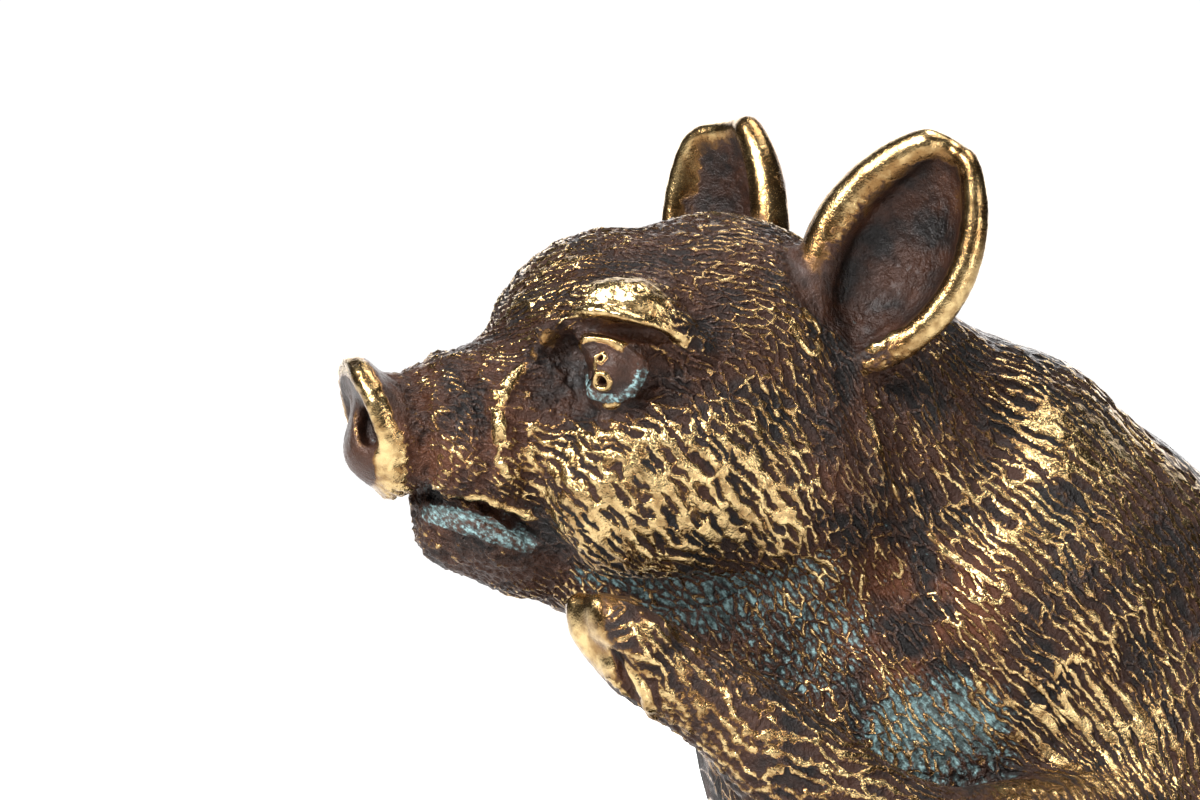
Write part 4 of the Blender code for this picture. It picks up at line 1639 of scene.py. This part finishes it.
@dataclass(frozen=True)
class BronzeFinish:
    """The figure's finish: gold on the worn crests, brown and verdigris in the furrows, painted shade in the
    large hollows.
    """

    dark: Colour = (0.0040, 0.0024, 0.0020, 1.0)
    brown: Colour = (0.034, 0.0145, 0.0078, 1.0)
    bronze: Colour = (0.170, 0.088, 0.030, 1.0)
    gold: Colour = (0.57, 0.415, 0.195, 1.0)
    verdigris: Colour = (0.062, 0.092, 0.090, 1.0)
    pale_verdigris: Colour = (0.28, 0.45, 0.46, 1.0)
    rust: Colour = (0.110, 0.034, 0.012, 1.0)
    specular: float = 0.33
    wax_roughness: float = 0.18

    def material(self) -> bpy.types.Material:
        """Builds the material.

        Returns:
            The material, which reads the skin's masks.
        """
        material, graph, shader, place = blank_material(Slot.BRONZE)
        fur, grit, polish, verdigris, rust, cavity, hollow, comb = (
            graph.out(graph.node("ShaderNodeAttribute", {"attribute_name": mask.value}),
                      "Vector" if mask is Mask.COMB else "Fac")
            for mask in (Mask.FUR, Mask.GRIT, Mask.POLISH, Mask.VERDIGRIS, Mask.RUST, Mask.CAVITY,
                         Mask.HOLLOW, Mask.COMB))
        crest, cell, clump = coat_pattern(graph, comb, place, polish)
        tuft = graph.out(graph.node("ShaderNodeSeparateColor", None, {"Color": cell}))
        patches = graph.noise(place, 0.30, 3.0, 0.55)
        bumps = graph.noise(place, 1.5, 3.0, 0.6)
        specks = graph.noise(place, 3.6, 3.0, 0.6)
        grain = graph.noise(place, 9.0, 2.0, 0.6)

        # Height of the surface, and how far rubbing has reached it
        ground = 0.52 + (bumps - 0.5) * grit * 1.6
        high = crest * fur + (1.0 - fur) * ground
        busy = (fur + grit).clamp() * 0.75 + 0.25
        level = high - hollow.math("MAXIMUM", -0.9) * 0.34 + (cavity * -2.2)
        level = level + (patches - 0.5) * 1.0 + (specks - 0.5) * busy * 0.6
        level = level + ((tuft - 0.5) * 0.25 + (clump - 0.5) * 1.3) * fur
        level = level - specks.ramp(0.60, 0.72) * busy * 0.45
        cut = 1.24 - polish * 1.04
        worn = level.ramp(cut - 0.12, cut + 0.16) * polish.ramp(0.0, 0.08)
        bright = level.ramp(cut + 0.05, cut + 0.50)

        # Brown ground, darker in the furrows and crevices as patina and darker in the large hollows as
        # painted shade; rust, and the metal where it is rubbed bare
        shade = (level * 0.5 + high * 0.5 - hollow.clamp() * 0.35).ramp(0.20, 1.0)
        colour = graph.blend(shade, self.dark, self.brown)
        colour = graph.blend(rust * patches.ramp(0.35, 0.62) * 0.85, colour, self.rust)
        mottle = bumps * 0.55 + graph.noise(place, 0.55, 3.0, 0.6) * 0.45
        metal = graph.blend(bright * (0.12 + mottle.ramp(0.34, 0.66) * 0.92), self.bronze, self.gold)
        colour = graph.blend(worn, colour, metal)

        # Verdigris in the deep places
        damp = graph.noise(comb, 1.5, 4.0, 0.75)
        deep = hollow * 0.30 + cavity * 1.4 + (1.0 - high) * (0.22 + verdigris * 0.50) + verdigris * 0.74
        deep = (deep + (damp - 0.5) * 2.0 + (specks - 0.5) * 1.3).ramp(0.78, 1.50)
        green = deep * (1.0 - worn * 0.8) * 0.85
        powder = (damp * 0.6 + specks * 0.4).ramp(0.46, 0.62)
        colour = graph.blend(green * 0.9, colour, graph.blend(powder, self.verdigris, self.pale_verdigris))

        rough = 0.23 + (1.0 - high.clamp()) * (1.0 - worn) * 0.38 + worn * 0.01 + green * 0.42
        relief = crest.ramp(0.1, 0.7) * fur * 0.12 + bumps * grit * (1.0 - fur * 0.5) * 0.30
        relief = relief + specks * busy * (1.0 - worn * 0.65) * 0.24 + grain * (1.0 - worn * 0.75) * 0.075
        graph.feed(shader, {
            "Base Color": colour,
            "Metallic": ((0.25 + worn * 0.75) * (1.0 - green)).clamp(),
            "Roughness": (rough + (grain - 0.5) * 0.2).clamp(),
            "Normal": graph.bump(relief),
            "Specular IOR Level": self.specular,
            "Coat Roughness": self.wax_roughness,
            "Coat Weight": (1.0 - green) * high.clamp() * 0.05,
        })
        return material


@dataclass(frozen=True)
class PlinthFinish:
    """The plinth's finish: plain dark brown bronze, rubbed here and there."""

    dark: Colour = BronzeFinish.dark
    brown: Colour = BronzeFinish.brown
    bronze: Colour = BronzeFinish.bronze
    metallic: float = 0.8

    def material(self) -> bpy.types.Material:
        """Builds the material.

        Returns:
            The material.
        """
        material, graph, shader, place = blank_material(Slot.PLINTH)
        patches = graph.noise(place, 0.22, 4.0, 0.6)
        specks = graph.noise(place, 2.6, 3.0, 0.6)
        colour = graph.blend(patches.ramp(0.3, 0.7), self.dark, self.brown)
        worn = (patches * 0.6 + specks * 0.6).ramp(0.62, 0.86)
        graph.feed(shader, {
            "Base Color": graph.blend(worn * 0.5, colour, self.bronze),
            "Roughness": 0.42 + (specks - 0.5) * 0.25,
            "Metallic": self.metallic,
            "Normal": graph.bump(patches * 0.08 + specks * 0.02),
        })
        return material


# Studio

@dataclass(frozen=True)
class Softbox:
    """One soft light, in metres and watts."""

    name: str
    place: Triple
    size: tuple[float, float]
    power: float

    def add(self, aim: Triple) -> None:
        """Puts the light in the scene.

        Args:
            aim: the point that it faces.
        """
        data = bpy.data.lights.new(self.name, "AREA")
        data.shape = "RECTANGLE"
        data.size, data.size_y = self.size
        data.energy = self.power
        lamp = bpy.data.objects.new(self.name, data)
        lamp.location = self.place
        lamp.rotation_euler = (Vector(self.place) - Vector(aim)).to_track_quat("Z", "Y").to_euler()
        bpy.context.scene.collection.objects.link(lamp)


@dataclass(frozen=True)
class Studio:
    """Pale floor, soft lights and the camera at the photograph's angle, in degrees and metres."""

    azimuth: float = 73.0
    elevation: float = 2.0
    lens: float = 144.0
    distance: float = 0.29186
    target: Triple = (0.0, -0.02181, 0.06557)
    aim: Triple = (0.0, -0.01, 0.05)
    floor_grey: float = 0.85
    softboxes: tuple[Softbox, ...] = (
        Softbox("key", (0.14, -0.34, 0.34), (0.13, 0.13), 3.7),
        Softbox("glint", (0.26, -0.24, 0.36), (0.04, 0.04), 1.1),
        Softbox("fill", (0.46, 0.16, 0.10), (0.05, 0.26), 1.1),
        Softbox("top", (0.02, 0.08, 0.42), (0.18, 0.14), 1.1),
        Softbox("backdrop", (-0.42, 0.14, 0.16), (0.66, 0.48), 3.6),
    )

    def floor(self) -> None:
        """Lays a pale floor with a painted glow, seen only by the camera, that is dimmer near the figure and
        brighter further out, so that it fades into the white behind it.
        """
        bm = bmesh.new()
        bmesh.ops.create_grid(bm, x_segments=1, y_segments=1, size=2.0)
        floor = object_from(bm, "floor")
        material = bpy.data.materials.new("floor")
        material.use_nodes = True
        graph = Graph(material.node_tree)
        seen = graph.out(graph.node("ShaderNodeLightPath"), "Is Camera Ray")
        away = graph.length(graph.out(graph.node("ShaderNodeTexCoord"), "Object"))
        # Painted glow: the floor shines for the camera, dimmer near the figure and brightest far from it.
        glow = seen * (0.55 + away.ramp(0.10, 0.40) * 0.45)
        graph.feed(material.node_tree.nodes["Principled BSDF"], {
            "Base Color": (self.floor_grey, self.floor_grey, self.floor_grey, 1.0),
            "Roughness": 0.9,
            "Emission Color": graph.blend(glow, (0.0, 0.0, 0.0, 1.0), (1.0, 1.0, 1.0, 1.0)),
            "Emission Strength": 1.0,
        })
        floor.data.materials.append(material)

    def world(self) -> None:
        """Sets white behind the object and a dimmer surround for the reflections."""
        world = bpy.data.worlds.new("studio")
        bpy.context.scene.world = world
        world.use_nodes = True
        graph = Graph(world.node_tree)
        seen = graph.out(graph.node("ShaderNodeLightPath"), "Is Camera Ray")
        graph.feed(world.node_tree.nodes["Background"],
                   {"Color": (1.0, 1.0, 1.0, 1.0), "Strength": 0.055 + seen * 0.995})

    def camera(self) -> None:
        """Sets the photograph's view."""
        azimuth, elevation = math.radians(self.azimuth), math.radians(self.elevation)
        back = Vector((math.sin(azimuth) * math.cos(elevation), -math.cos(azimuth) * math.cos(elevation),
                       math.sin(elevation)))
        data = bpy.data.cameras.new("camera")
        data.lens = self.lens
        data.sensor_width = 36.0
        data.clip_start = 0.001
        camera = bpy.data.objects.new("camera", data)
        camera.location = Vector(self.target) + back * self.distance
        camera.rotation_euler = back.to_track_quat("Z", "Y").to_euler()
        bpy.context.scene.collection.objects.link(camera)
        bpy.context.scene.camera = camera

    def build(self) -> None:
        """Sets the whole studio up."""
        self.floor()
        self.world()
        for softbox in self.softboxes:
            softbox.add(self.aim)
        self.camera()
        view = bpy.context.scene.view_settings
        view.view_transform = "Standard"
        view.look = "None"
        log.info("studio with %d lights", len(self.softboxes))


def main() -> None:
    """Builds the figure, the plinth and the studio."""
    logging.basicConfig(level=logging.INFO, format="%(name)s: %(message)s")
    piglet = Piglet(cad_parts["piglet"], Measure(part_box("piglet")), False)
    skin, dell = piglet.build()
    piglet.dress(skin, dell, BronzeFinish().material())
    Plinth(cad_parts["plinth"]).dress(PlinthFinish().material())
    Studio().build()


if __name__ == "__main__":
    main()
